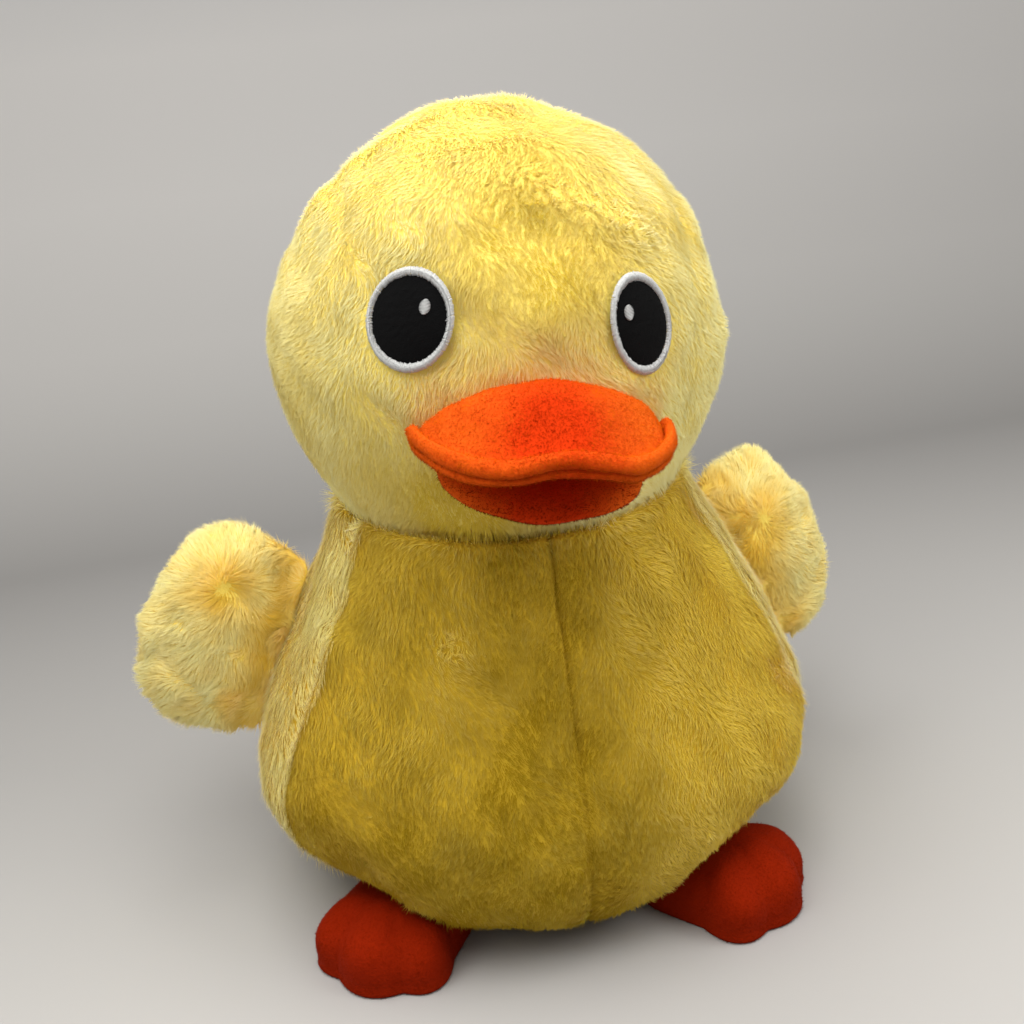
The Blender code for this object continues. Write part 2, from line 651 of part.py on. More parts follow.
def flap_rings(rows, turn, inset, sizes):
    """Rings along a stuffed flap: a round root about its hinge, a swell and a round tip.

    sizes are its length, height, thickness, root height, root radius and the droop of its tip.
    """
    length, height, thickness, root_height, root_radius, droop = sizes
    radius = root_radius - inset
    back = np.clip(1 - rows / FLAP_ROOT_SHARE, 0, 1) * math.pi / 2
    ahead = np.clip((rows - FLAP_ROOT_SHARE) / (1 - FLAP_ROOT_SHARE), 0, 1) * math.pi / 2
    along = (length - inset) * np.sin(ahead) - radius * np.sin(back)
    ends = np.clip(along, 0, None)
    peak_at = FLAP_PEAK_SHARE * length
    swell = bulge(ends, radius, thickness / 2 - inset, peak_at, length - inset)
    rise = bulge(ends, root_height / 2 - inset, height / 2 - inset, peak_at, length - inset)
    swell = np.where(along < 0, radius * np.cos(back), swell)
    rise = np.where(along < 0, root_height / 2 - inset - radius * (1 - np.cos(back)), rise)
    return (
        along[:, None] + 0 * turn[None, :],
        swell[:, None] * np.sin(turn)[None, :],
        rise[:, None] * np.cos(turn)[None, :] - droop * ends[:, None] / length,
    )


def flap(names, sizes, slots, parent, rows, columns, sides):
    """Two half shells sewn round a flap's outline, with the filling between them."""
    shares = np.linspace(0, 1, rows + 1)
    margin = SEAM_GAP / sizes[1]
    for name, side, slot in zip(names[:2], sides, slots):
        turn = side * np.linspace(margin, math.pi - margin, columns + 1)
        outer = np.stack(flap_rings(shares, turn, 0, sizes), axis=-1)
        inner = np.stack(flap_rings(shares, turn, PLUSH, sizes), axis=-1)
        sheet(name, outer, inner, slot, parent)
    turn = np.arange(2 * columns) * math.pi / columns
    core = np.stack(flap_rings(shares, turn, PLUSH + FILL_GAP, sizes), axis=-1)
    loft(names[2], core, "stuffing", parent)


def frame_matrix(out, up):
    """A turn whose X runs outwards and whose Z runs along a seam."""
    side = up.cross(out).normalized()
    return Matrix((out, side, up)).transposed()


def make_wing(name, side):
    """A wing on the upright seam between the side and back panels."""
    height = (LEFT_WING_SHARE if side > 0 else RIGHT_WING_SHARE) * neck_edge_height(0)
    place, normal, up = body_outer(side * WING_ANGLE, height)
    hinge = place + normal * (WING_ROOT_RADIUS + SEAM_GAP - WING_SEAT)
    sweep = LEFT_WING_SWEEP if side > 0 else RIGHT_WING_SWEEP
    out = Matrix.Rotation(side * sweep, 3, up) @ normal
    parent = pivot("wing_" + name + "_hinge", hinge, frame_matrix(out, up))
    names = ["wing_" + name + part for part in ("_front", "_back", "_filling")]
    sizes = (WING_LENGTH, WING_HEIGHT, WING_THICKNESS, WING_ROOT_HEIGHT, WING_ROOT_RADIUS, WING_DROOP)
    flap(names, sizes, ("wing_plush", "wing_plush"), parent, WING_ROWS, WING_COLUMNS, (-side, side))


def make_tail():
    """A short flat tail on the middle seam of the back."""
    height = TAIL_ROW_SHARE * neck_edge_height(0)
    place, normal, up = body_outer(math.pi, height)
    hinge = place + normal * (TAIL_ROOT_RADIUS + SEAM_GAP)
    out = Vector((0, math.cos(TAIL_LIFT), math.sin(TAIL_LIFT)))
    parent = pivot("tail_hinge", hinge, frame_matrix(out, Vector((1, 0, 0))))
    sizes = (TAIL_LENGTH, TAIL_WIDTH, TAIL_THICKNESS, TAIL_ROOT_WIDTH, TAIL_ROOT_RADIUS, TAIL_DROOP)
    names = ("tail_top", "tail_underside", "tail_filling")
    flap(names, sizes, ("back_plush", "back_plush"), parent, TAIL_ROWS, TAIL_COLUMNS, (1, -1))


def foot_outline(turn, inset):
    """Distance from the middle of a foot to its edge, with three round toes at its front."""
    lobe = (0.5 + 0.5 * np.cos(turn * 2 * math.pi / TOE_PERIOD)) ** TOE_ROUNDNESS
    toes = np.where(np.abs(turn) < 1.5 * TOE_PERIOD, lobe, 0)
    ahead = np.abs(np.cos(turn)) / (FOOT_LENGTH / 2 - inset)
    across = np.abs(np.sin(turn)) / (FOOT_WIDTH / 2 - inset)
    oval = (ahead**FOOT_SQUARENESS + across**FOOT_SQUARENESS) ** (-1 / FOOT_SQUARENESS)
    return oval * (1 - TOE_DEPTH_SHARE + TOE_DEPTH_SHARE * toes)


def foot_level(low, inset=0, domed=False):
    """Grid over a foot at a height above its hinge, flat or domed."""
    turn = np.arange(FOOT_COLUMNS) * 2 * math.pi / FOOT_COLUMNS
    turn = np.where(turn > math.pi, turn - 2 * math.pi, turn)[None, :]
    share = np.linspace(0, 1, FOOT_RINGS + 1)[:, None]
    edge = foot_outline(turn, inset)
    heel = (1 - TOE_DEPTH_SHARE) * FOOT_LENGTH / 2 - FOOT_TUCK
    ahead = heel + share * edge * np.cos(turn)
    height = low + 0 * ahead
    if domed:
        growth = smooth(ahead / (FOOT_SWELL_SHARE * FOOT_LENGTH))
        swell = FOOT_ROOT_THICKNESS + (FOOT_THICKNESS - FOOT_ROOT_THICKNESS) * growth
        squareness = FOOT_DOME_SQUARENESS
        dome = np.clip(1 - share**squareness, 0, None) ** (1 / squareness)
        height = low + (swell - FLEECE - SEAM_GAP - inset) * dome
    return np.stack([ahead, share * edge * np.sin(turn), height], axis=-1)


def make_foot(name, side):
    """A sole, a top and a filling, hinged near the floor under the edge of the body."""
    angle = LEFT_FOOT_ANGLE if side > 0 else -RIGHT_FOOT_ANGLE
    splay = LEFT_FOOT_SPLAY if side > 0 else RIGHT_FOOT_SPLAY
    place, _, _ = body_outer(angle, 2 * FOOT_HINGE_HEIGHT)
    hinge = Vector((place.x, place.y, FOOT_HINGE_HEIGHT))
    out = Vector((side * math.sin(splay), -math.cos(splay), 0))
    parent = pivot("foot_" + name + "_hinge", hinge, frame_matrix(out, Vector((0, 0, 1))))
    floor = SEAM_GAP - FOOT_HINGE_HEIGHT
    seam = floor + FLEECE + SEAM_GAP
    outer, inner = foot_level(seam, 0, True), foot_level(seam, FLEECE, True)
    skin = sheet("foot_" + name + "_top", outer, inner, "foot_fleece", parent, closed=True)
    raised, flat = foot_level(floor + FLEECE), foot_level(floor)
    sheet("foot_" + name + "_sole", raised, flat, "foot_fleece", parent, closed=True)
    inside = foot_level(seam + SEAM_GAP, FLEECE + FILL_GAP, True)
    stuffing = loft("foot_" + name + "_filling", inside, "stuffing", parent)
    for step in range(FOOT_ROOM_STEPS):
        lean = Matrix.Rotation(FOOT_FLEX * step / (FOOT_ROOM_STEPS - 1), 4, "Y")
        cutter = hide_cutter(loft(f"foot_{name}_room_{step}", body_cutter_points(), "foot_fleece"))
        cutter.matrix_basis = parent.matrix_basis @ lean @ parent.matrix_basis.inverted()
        cut(skin, cutter)
        cut(stuffing, cutter)


make_body()
head_centre = Vector((0, 0, HEAD_HEIGHT))
neck_pivot = pivot("neck_pivot", head_centre)
make_neck(neck_pivot)
head_posture = Matrix.Rotation(HEAD_TURN, 3, "Z") @ Matrix.Rotation(HEAD_ROLL, 3, "Y")
head_pivot = pivot("head_pivot", (0, 0, 0), head_posture, neck_pivot)
make_head(head_pivot)
make_eyes(head_pivot)
beak_frame = pivot("beak_frame", (0, 0, 0), Matrix.Rotation(BEAK_TURN, 3, "Z"), head_pivot)
upper_hinge = face_point(np.array(0.0), np.array(BEAK_TOP_ELEVATION), SEAM_GAP)
lower_hinge = face_point(np.array(0.0), np.array(LOWER_ROOT_ELEVATION), SEAM_GAP)
cutter_grid = head_points(ball_directions(2 * FILLING_COLUMNS), -2 * SEAM_GAP)
face_cutter = hide_cutter(loft("face_cutter", cutter_grid, "head_plush", head_pivot))
upper_pivot = pivot("upper_beak_hinge", upper_hinge, None, beak_frame)
lower_pivot = pivot("lower_beak_hinge", lower_hinge, None, beak_frame)
make_beak(upper_pivot, lower_pivot, face_cutter, upper_hinge, lower_hinge)
for side_name, side_sign in (("left", 1), ("right", -1)):
    make_wing(side_name, side_sign)
    make_foot(side_name, side_sign)
make_tail()
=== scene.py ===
"""A sitting plush duck: stuffed cloth skins, each with a coat of pile made lock by lock.

Metres, +Z up. The duck faces -Y, its left side is +X and the floor is z = 0.
"""
import math

import bmesh
import bpy
import numpy as np
from mathutils import Matrix, Vector


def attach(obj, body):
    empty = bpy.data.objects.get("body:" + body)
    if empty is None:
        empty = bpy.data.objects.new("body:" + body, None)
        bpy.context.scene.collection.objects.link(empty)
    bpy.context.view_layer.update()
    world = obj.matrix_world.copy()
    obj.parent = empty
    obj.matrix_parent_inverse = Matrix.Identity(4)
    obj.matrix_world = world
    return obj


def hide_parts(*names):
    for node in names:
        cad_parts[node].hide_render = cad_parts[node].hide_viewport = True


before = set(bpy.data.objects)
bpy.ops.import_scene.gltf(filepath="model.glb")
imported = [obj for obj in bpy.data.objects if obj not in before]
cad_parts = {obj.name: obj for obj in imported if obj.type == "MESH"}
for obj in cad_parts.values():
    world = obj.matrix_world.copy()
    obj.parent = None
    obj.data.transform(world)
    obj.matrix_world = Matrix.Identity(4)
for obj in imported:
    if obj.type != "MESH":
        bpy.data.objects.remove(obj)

MM = 0.001
DEG = math.pi / 180
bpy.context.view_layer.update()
COAT_SHARE = 1.0
SIDES = {"left": 1, "right": -1}

# Sizes of the solids. The left eye, the wings' length and the feet are the photo's, and differ a little.
BODY_WIDTH = 262 * MM
BODY_DEPTH = 222 * MM
BODY_FORWARD = 8 * MM
BASE_WIDTH = 124 * MM
WIDEST_SHARE = 0.36
SHOULDER_ROUND_SHARE = 0.14
LOWER_ROWS_SHARE = 0.4
BELLY_SQUARENESS = 2.15
UNDERSIDE_SQUARENESS = 2.2
FOOT_DENT = 16 * MM
FOOT_DENT_SPREAD = 26 * DEG
BELLY_SEAM = 71 * DEG
BACK_SEAM = 105 * DEG

HEAD_HEIGHT = 260 * MM
BALL_RADIUS = 98.5 * MM
COLLAR_RADIUS = 99.3 * MM
NECK_WIDTH = 157 * MM
NECK_ANGLE = math.asin(NECK_WIDTH / 2 / COLLAR_RADIUS)
HEAD_ROLL = 7.7 * DEG
HEAD_TURN = -3.5 * DEG
BALL_END = 66 * DEG
BULGE_END = 104 * DEG
CHEEK_SEAM_SHARE = 0.72
FRONT_GROWTH = 0.5 * MM
BACK_GROWTH = -4.5 * MM
SIDE_GROWTH = -1 * MM
TOP_GROWTH = 0.5 * MM

EYE_AZIMUTHS = {"left": 26.2 * DEG, "right": -29.5 * DEG}
EYE_WIDTHS = {"left": 29.5 * MM, "right": 35.6 * MM}
EYE_TILTS = {"left": 6 * DEG, "right": 0}
EYE_HEIGHT = 39.6 * MM
EYE_ELEVATION = 17 * DEG
EYE_RIM = (2.3 * MM, 3.2 * MM)

BEAK_TURN = 2.5 * DEG
BEAK_SPREAD = 28.5 * DEG
BEAK_TOP_ELEVATION = 6 * DEG
BEAK_CORNER_ELEVATION = -9 * DEG
BEAK_MOUTH_ELEVATION = -10 * DEG
LOWER_SPREAD = 22 * DEG
LOWER_TOP_ELEVATION = -13 * DEG
LOWER_ROOT_ELEVATION = -25 * DEG

# Length, height, thickness, height of the root, radius of the root and droop
WING_SIZES = (69 * MM, 111 * MM, 40 * MM, 96 * MM, 9 * MM, 13 * MM)
TAIL_SIZES = (50 * MM, 60 * MM, 26 * MM, 48 * MM, 6 * MM, 0.0)
FLAP_ROOT_SHARE = 0.2
FLAP_PEAK_SHARE = 0.5

FOOT_LENGTH = 76 * MM
FOOT_WIDTH = 67 * MM
FOOT_SQUARENESS = 2.9
FOOT_HEEL_SQUARENESS = 5.0
FOOT_THICKNESS = 31 * MM
FOOT_ROOT_THICKNESS = 26 * MM
FOOT_HINGE_HEIGHT = 6 * MM
FOOT_TUCK = 12 * MM
FOOT_SWELL_SHARE = 0.5
FOOT_DOME_SQUARENESS = 3.0
FOOT_ANGLES = {"left": 42 * DEG, "right": -55 * DEG}
TOE_PERIOD = 54 * DEG
TOE_DEPTH_SHARE = 0.16
TOE_NOTCH_SHARE = 0.13
TOE_ROUNDNESS = 0.6

# Depth of the cloth under the middle of its pile
BODY_CLOTH = 2.0 * MM
HEAD_CLOTH = 2.0 * MM
WING_CLOTH = 3.6 * MM
TAIL_CLOTH = 2.5 * MM


# Camera, light and floor

CAMERA_AZIMUTH = -10.5 * DEG
CAMERA_ELEVATION = 24 * DEG
CAMERA_ROLL = 5 * DEG
CAMERA_DISTANCE = 0.66
CAMERA_TARGET = (0, 0, 0.175)
CAMERA_LENS = 50.6
CAMERA_SENSOR = 36

# Place, size, watts and colour
LAMPS = {
    "softbox": ((-0.18, -0.1, 1.3), 1.2, 24, (1.0, 0.975, 0.93)),
    "left_fill": ((-0.95, -0.45, 1.15), 0.7, 4.4, (1.0, 0.98, 0.95)),
    "right_fill": ((0.95, -0.45, 1.0), 0.7, 8.5, (1.0, 0.98, 0.95)),
}
LAMP_AIM = (0, 0, 0.2)
WORLD_COLOUR = (0.84, 0.82, 0.79, 1)
WORLD_STRENGTH = 0.38

BACKDROP_FRONT = -3
BACKDROP_BACK = 1
BACKDROP_RADIUS = 3.2
BACKDROP_WALL = 2
BACKDROP_HALF_WIDTH = 5
BACKDROP_LEVEL_SHARE = 0.4
BACKDROP_CURVE_SHARE = 0.5

# Grey of the paper along the sum of its Y and Z, as shares of a range: painted light and shade, darkest on
# the floor behind the duck
PAPER_RANGE = (-0.5, 3.0)
PAPER_PAINTED_LIGHT_GREYS = (
    (0.0, 0.46), (0.10, 0.41), (0.15, 0.36), (0.26, 0.195),
    (0.42, 0.49), (0.6, 0.76), (0.8, 0.97), (1.0, 0.98),
)
PAPER_TINT = (1, 0.985, 0.97)


def stand_camera():
    """The view of the photo: 24 degrees down on the duck, a little from its right, tilted."""
    away = math.cos(CAMERA_ELEVATION)
    across, ahead = math.sin(CAMERA_AZIMUTH), math.cos(CAMERA_AZIMUTH)
    back = Vector((across * away, -ahead * away, math.sin(CAMERA_ELEVATION)))
    level = Vector((ahead, across, 0))
    above = back.cross(level)
    right = level * math.cos(CAMERA_ROLL) - above * math.sin(CAMERA_ROLL)
    up = level * math.sin(CAMERA_ROLL) + above * math.cos(CAMERA_ROLL)
    lens = bpy.data.cameras.new("viewpoint")
    lens.sensor_width = CAMERA_SENSOR
    lens.lens = CAMERA_LENS
    camera = bpy.data.objects.new("viewpoint", lens)
    bpy.context.scene.collection.objects.link(camera)
    stand = Matrix.Translation(Vector(CAMERA_TARGET) + back * CAMERA_DISTANCE)
    camera.matrix_world = stand @ Matrix((right, up, back)).transposed().to_4x4()
    bpy.context.scene.camera = camera


def light_studio():
    """A wide softbox overhead, a weaker lamp high on either side and an even grey world."""
    for name, (place, size, watts, colour) in LAMPS.items():
        light = bpy.data.lights.new(name, "AREA")
        light.size = size
        light.energy = watts
        light.color = colour
        lamp = bpy.data.objects.new(name, light)
        bpy.context.scene.collection.objects.link(lamp)
        lamp.location = place
        facing = Vector(LAMP_AIM) - Vector(place)
        lamp.rotation_euler = facing.to_track_quat("-Z", "Y").to_euler()
    world = bpy.data.worlds.new("studio")
    world.use_nodes = True
    bpy.context.scene.world = world
    backdrop = world.node_tree.nodes["Background"]
    backdrop.inputs["Color"].default_value = WORLD_COLOUR
    backdrop.inputs["Strength"].default_value = WORLD_STRENGTH
    bpy.context.scene.view_settings.view_transform = "Standard"


def lay_floor():
    """A pale sheet that rises behind the duck: level, then a quarter circle, then upright."""
    run = np.linspace(0, 1, 80)
    flat = run < BACKDROP_LEVEL_SHARE
    curve_end = BACKDROP_LEVEL_SHARE + BACKDROP_CURVE_SHARE
    bend = np.clip((run - BACKDROP_LEVEL_SHARE) / BACKDROP_CURVE_SHARE, 0, 1) * math.pi / 2
    level = BACKDROP_FRONT + run / BACKDROP_LEVEL_SHARE * (BACKDROP_BACK - BACKDROP_FRONT)
    ahead = np.where(flat, level, BACKDROP_BACK + BACKDROP_RADIUS * np.sin(bend))
    climb = np.clip(run - curve_end, 0, None) / (1 - curve_end) * BACKDROP_WALL
    height = np.where(flat, 0, BACKDROP_RADIUS * (1 - np.cos(bend))) + climb
    across = np.linspace(-BACKDROP_HALF_WIDTH, BACKDROP_HALF_WIDTH, 9)
    grid = joined(across[None, :], ahead[:, None], height[:, None])
    backdrop_paper()
    thing = add_piece("backdrop", grid_mesh("backdrop", grid, wrap=False), "backdrop_paper")


# Small tools

MERGE_DISTANCE = 0.01 * MM
SLIVER_LENGTH = 0.001 * MM


def unit(vectors):
    """Vectors over their lengths."""
    return vectors / np.maximum(np.linalg.norm(vectors, axis=-1, keepdims=True), 1e-12)


def joined(*coordinates):
    """Coordinates side by side as points, each stretched to the shape of the others."""
    return np.stack(np.broadcast_arrays(*coordinates), axis=-1)


def smooth(share):
    """A rise from 0 to 1 with level ends: 3 squares less 2 cubes of the share."""
    share = np.clip(share, 0, 1)
    return share * share * (3 - 2 * share)


def power(value, exponent):
    """A power that keeps its sign."""
    return np.sign(value) * np.abs(value) ** exponent


def fold(distance, width):
    """A soft ridge 1 high across a line: e to the minus square of the distance over the width."""
    return np.exp(-((distance / width) ** 2))


def dip(distance, depth, width):
    """A fold of a given depth."""
    return depth * fold(distance, width)


def hills(points, wavelength, seed, waves=8):
    """Smooth uneven ground of about unit height: a sum of sines in fixed directions."""
    rng = np.random.default_rng(seed)
    directions = unit(rng.normal(size=(waves, 3)))
    pitch = 2 * math.pi / wavelength * rng.uniform(0.65, 1.4, waves)
    phase = rng.uniform(0, 2 * math.pi, waves)
    return np.sin(points @ (directions * pitch[:, None]).T + phase).sum(axis=-1) / math.sqrt(waves / 2)


def layered(points, *layers):
    """Hills on hills, each layer a height, a wavelength and a seed."""
    return sum(height * hills(points, wavelength, seed) for height, wavelength, seed in layers)


def drift(points, wavelength, seed):
    """A smooth vector field, one set of hills for each axis."""
    return np.stack([hills(points, wavelength, seed + axis) for axis in range(3)], axis=-1)


def stir(points, strength, wavelength, seed):
    """A drift of a given strength."""
    return strength * drift(points, wavelength, seed)


def placed(grid, matrix):
    """Points turned and moved by a matrix."""
    matrix = np.array(matrix)
    return grid @ matrix[:3, :3].T + matrix[:3, 3]


def beside_line(points, start, end):
    """Distance from points to a straight line between two points."""
    start, end = np.array(start), np.array(end)
    run = end - start
    share = np.clip(((points - start) @ run) / (run @ run), 0, 1)
    return np.linalg.norm(points - start - share[..., None] * run, axis=-1)


def round_turn(steps):
    """Angles evenly round a circle, as one row."""
    return (np.arange(steps) * 2 * math.pi / steps)[None, :]


def read_rows(items, label, kind=np.float32):
    """Rows of three numbers read from a mesh."""
    rows = np.empty(len(items) * 3, kind)
    items.foreach_get(label, rows)
    return rows.reshape(-1, 3)


def store(mesh, label, values):
    """Keeps one number for each vertex under a name."""
    mesh.attributes.new(label, "FLOAT", "POINT").data.foreach_set("value", values.astype(np.float32))


def face_mesh(name, points, faces):
    """A mesh from arrays of points and of faces that all have the same number of corners."""
    mesh = bpy.data.meshes.new(name)
    sides = faces.shape[1]
    mesh.vertices.add(len(points))
    mesh.vertices.foreach_set("co", np.ascontiguousarray(points, dtype=np.float32).ravel())
    mesh.loops.add(faces.size)
    mesh.loops.foreach_set("vertex_index", np.ascontiguousarray(faces, dtype=np.int32).ravel())
    mesh.polygons.add(len(faces))
    mesh.polygons.foreach_set("loop_start", np.arange(0, faces.size, sides, dtype=np.int32))
    mesh.update(calc_edges=True)
    return mesh


def grid_mesh(name, grid, wrap=True):
    """A mesh over a grid of points whose columns go round, joined where points meet."""
    rows, columns = grid.shape[:2]
    index = np.arange(rows * columns).reshape(rows, columns)
    if wrap:
        index = np.hstack([index, index[:, :1]])
    low, high = index[:-1], index[1:]
    faces = np.stack([low[:, :-1], low[:, 1:], high[:, 1:], high[:, :-1]], axis=-1).reshape(-1, 4)
    mesh = face_mesh(name, grid.reshape(-1, 3), faces)
    shape = bmesh.new()
    shape.from_mesh(mesh)
    bmesh.ops.remove_doubles(shape, verts=shape.verts, dist=MERGE_DISTANCE)
    bmesh.ops.dissolve_degenerate(shape, edges=shape.edges, dist=SLIVER_LENGTH)
    bmesh.ops.recalc_face_normals(shape, faces=shape.faces)
    if wrap and shape.calc_volume(signed=True) < 0:
        bmesh.ops.reverse_faces(shape, faces=shape.faces)
    shape.to_mesh(mesh)
    shape.free()
    mesh.shade_smooth()
    return mesh


def add_piece(name, mesh, material):
    """An object for a mesh, in the material of that name."""
    mesh.materials.clear()
    mesh.materials.append(bpy.data.materials[material])
    thing = bpy.data.objects.new(name, mesh)
    bpy.context.scene.collection.objects.link(thing)
    return thing


def trim(name, mesh, material, body, nodes=()):
    """A piece that rides on a body and may stand for solids."""
    thing = add_piece(name, mesh, material)
    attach(thing, body)
    if nodes:
        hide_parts(*nodes)
    return thing


def stuffed(name, grid, material, body, nodes):
    """A stuffed piece over a grid of points, which rides on a body and stands for its solids."""
    thing = trim(name, grid_mesh(name, grid), material, body, nodes)
    return thing


# Finishes

# Colour, paler colour and fineness of a cloth, then its bump, roughness and sheen if not the usual
CLOTHS = {
    # yellow_backing and lemon_backing are darkened towards the shaded roots of their pile: painted shade in
    # the gaps between locks
    "yellow_backing": ((0.50, 0.32, 0.018), (0.60, 0.40, 0.025), 900),
    "lemon_backing": ((0.82, 0.65, 0.13), (0.90, 0.74, 0.18), 900),
    "wing_backing": ((0.86, 0.63, 0.10), (0.92, 0.71, 0.16), 900),
    "orange_fleece": ((0.52, 0.028, 0.001), (0.70, 0.120, 0.008), 800, 0.7, 0.9, 0.0),
    "red_fleece": ((0.22, 0.010, 0.0002), (0.30, 0.017, 0.0004), 800, 0.9, 0.9, 0.0),
    "black_felt": ((0.002, 0.002, 0.0022), (0.006, 0.006, 0.0065), 2200, 0.8, 0.95, 0.02),
    "white_fibre": ((0.80, 0.80, 0.78), (0.9, 0.9, 0.88), 400, 1.0),
    "pellet_weave": ((0.62, 0.60, 0.55), (0.72, 0.70, 0.66), 1200),
}
THREAD = (0.60, 0.61, 0.61)
THREAD_SHADOW = (0.34, 0.35, 0.35)

# Colour of a lock at its root, its middle and its tip, and what a low tone multiplies it by
# Darker roots are painted shade among the locks; gold_pile is also darker than lemon_pile partly as painted
# shade on the body under the head
PILES = {
    "gold_pile": ((0.72, 0.48, 0.034), (0.80, 0.57, 0.052), (0.86, 0.65, 0.085), (0.46, 0.38, 0.09)),
    "side_pile": ((0.98, 0.83, 0.22), (0.99, 0.88, 0.30), (1.0, 0.93, 0.42), (0.86, 0.76, 0.55)),
    "lemon_pile": ((0.97, 0.85, 0.28), (0.99, 0.90, 0.37), (1.0, 0.95, 0.48), (0.73, 0.57, 0.10)),
    "wing_pile": ((0.97, 0.83, 0.25), (0.99, 0.89, 0.35), (1.0, 0.95, 0.48), (0.91, 0.66, 0.17)),
}
NAPS = {
    "orange_nap": ((0.58, 0.078, 0.003), (0.64, 0.098, 0.004), (0.72, 0.125, 0.007), (0.60, 0.20, 0.15)),
    "red_nap": ((0.18, 0.008, 0.0001), (0.22, 0.011, 0.0001), (0.28, 0.020, 0.0002), (0.75, 0.65, 0.60)),
}
PILE_GLOW = 0.35
PILE_GLOW_RADIUS = (1.0, 0.8, 0.4)
PILE_GLOW_DEPTH = 1.8 * MM
LOCK_MIDDLE_SHARE = 0.45
NAP_DEPTH = 0.6 * MM


def finish(name, values):
    """A new material's node tree and its shader, with the shader's constants set."""
    material = bpy.data.materials.new(name)
    material.use_nodes = True
    shader = material.node_tree.nodes["Principled BSDF"]
    for label, value in values.items():
        shader.inputs[label].default_value = value
    return material.node_tree, shader


def add_node(tree, kind, values=None, **settings):
    """A new shader node with its settings, and the values of its inputs."""
    node = tree.nodes.new("ShaderNode" + kind)
    for label, value in settings.items():
        setattr(node, label, value)
    for label, value in (values or {}).items():
        node.inputs[label].default_value = value
    return node


def wire(tree, *runs):
    """Links, each written as a node and its output, then a node and its input."""
    for source, output, target, entry in runs:
        tree.links.new(source.outputs[output], target.inputs[entry])


def new_group(name, inputs, outputs):
    """An empty node group with named sockets, and its two end nodes."""
    tree = bpy.data.node_groups.new(name, "ShaderNodeTree")
    for label, kind, value in inputs:
        socket = tree.interface.new_socket(label, in_out="INPUT", socket_type=kind)
        socket.default_value = value
    for label, kind in outputs:
        tree.interface.new_socket(label, in_out="OUTPUT", socket_type=kind)
    return tree, tree.nodes.new("NodeGroupInput"), tree.nodes.new("NodeGroupOutput")


def lock_colour_group():
    """Colour of a lock of pile: root to tip along it, darker at the root as painted shade among the locks,
    times a shade where its tone is low.
    """
    tree, start, end = new_group(
        "lock_colour",
        (
            ("Root", "NodeSocketColor", (0.3, 0.2, 0.02, 1)),
            ("Middle", "NodeSocketColor", (0.6, 0.4, 0.06, 1)),
            ("Tip", "NodeSocketColor", (0.9, 0.7, 0.2, 1)),
            ("Shade", "NodeSocketColor", (0.8, 0.7, 0.4, 1)),
        ),
        (("Color", "NodeSocketColor"),),
    )
    along = add_node(tree, "Attribute", attribute_name="along")
    tone = add_node(tree, "Attribute", attribute_name="tone")
    lower = add_node(tree, "MapRange", {"From Max": LOCK_MIDDLE_SHARE})
    upper = add_node(tree, "MapRange", {"From Min": LOCK_MIDDLE_SHARE})
    first = add_node(tree, "Mix", data_type="RGBA")
    second = add_node(tree, "Mix", data_type="RGBA")
    shade = add_node(tree, "Mix", {"B": (1, 1, 1, 1)}, data_type="RGBA")
    scaled = add_node(tree, "Mix", {"Factor": 1.0}, data_type="RGBA", blend_type="MULTIPLY")
    wire(
        tree,
        (along, "Fac", lower, "Value"),
        (along, "Fac", upper, "Value"),
        (lower, "Result", first, "Factor"),
        (start, "Root", first, "A"),
        (start, "Middle", first, "B"),
        (upper, "Result", second, "Factor"),
        (first, "Result", second, "A"),
        (start, "Tip", second, "B"),
        (start, "Shade", shade, "A"),
        (tone, "Fac", shade, "Factor"),
        (second, "Result", scaled, "A"),
        (shade, "Result", scaled, "B"),
        (scaled, "Result", end, "Color"),
    )


def pile_finish(name, root, middle, tip, shade, glow):
    """Matt silky pile, coloured lock by lock, with a glow from the light that passes through it."""
    tree, shader = finish(name, {
        "Roughness": 0.8, "Specular IOR Level": 0.15 * glow,
        "Sheen Weight": 0.15 * glow, "Sheen Roughness": 0.4, "Sheen Tint": (*tip, 1),
        "Subsurface Weight": glow, "Subsurface Radius": PILE_GLOW_RADIUS, "Subsurface Scale": PILE_GLOW_DEPTH,
    })
    colour = add_node(
        tree, "Group", {"Root": (*root, 1), "Middle": (*middle, 1), "Tip": (*tip, 1), "Shade": (*shade, 1)},
        node_tree=bpy.data.node_groups["lock_colour"],
    )
    wire(tree, (colour, "Color", shader, "Base Color"))


def cloth_group():
    """Short nap: fine uneven bumps, and a mottle between two colours that painted light, where a piece holds
    it, adds to.
    """
    tree, start, end = new_group(
        "short_nap",
        (
            ("Colour", "NodeSocketColor", (0.5, 0.1, 0.02, 1)),
            ("Pale Colour", "NodeSocketColor", (0.6, 0.2, 0.05, 1)),
            ("Scale", "NodeSocketFloat", 700.0),
        ),
        (("Color", "NodeSocketColor"), ("Height", "NodeSocketFloat")),
    )
    place = add_node(tree, "TexCoord")
    fine = add_node(tree, "TexNoise", {"Detail": 5})
    broad = add_node(tree, "TexNoise", {"Scale": 60, "Detail": 3})
    both = add_node(tree, "Math", operation="MULTIPLY")
    painted_light = add_node(tree, "Attribute", attribute_name="painted_light")
    pale_mix = add_node(tree, "Math", use_clamp=True)
    mixed = add_node(tree, "Mix", data_type="RGBA")
    wire(
        tree,
        (place, "Object", fine, "Vector"),
        (place, "Object", broad, "Vector"),
        (start, "Scale", fine, "Scale"),
        (fine, "Fac", both, 0),
        (broad, "Fac", both, 1),
        (both, "Value", pale_mix, 0),
        (painted_light, "Fac", pale_mix, 1),
        (pale_mix, "Value", mixed, "Factor"),
        (start, "Colour", mixed, "A"),
        (start, "Pale Colour", mixed, "B"),
        (mixed, "Result", end, "Color"),
        (fine, "Fac", end, "Height"),
    )


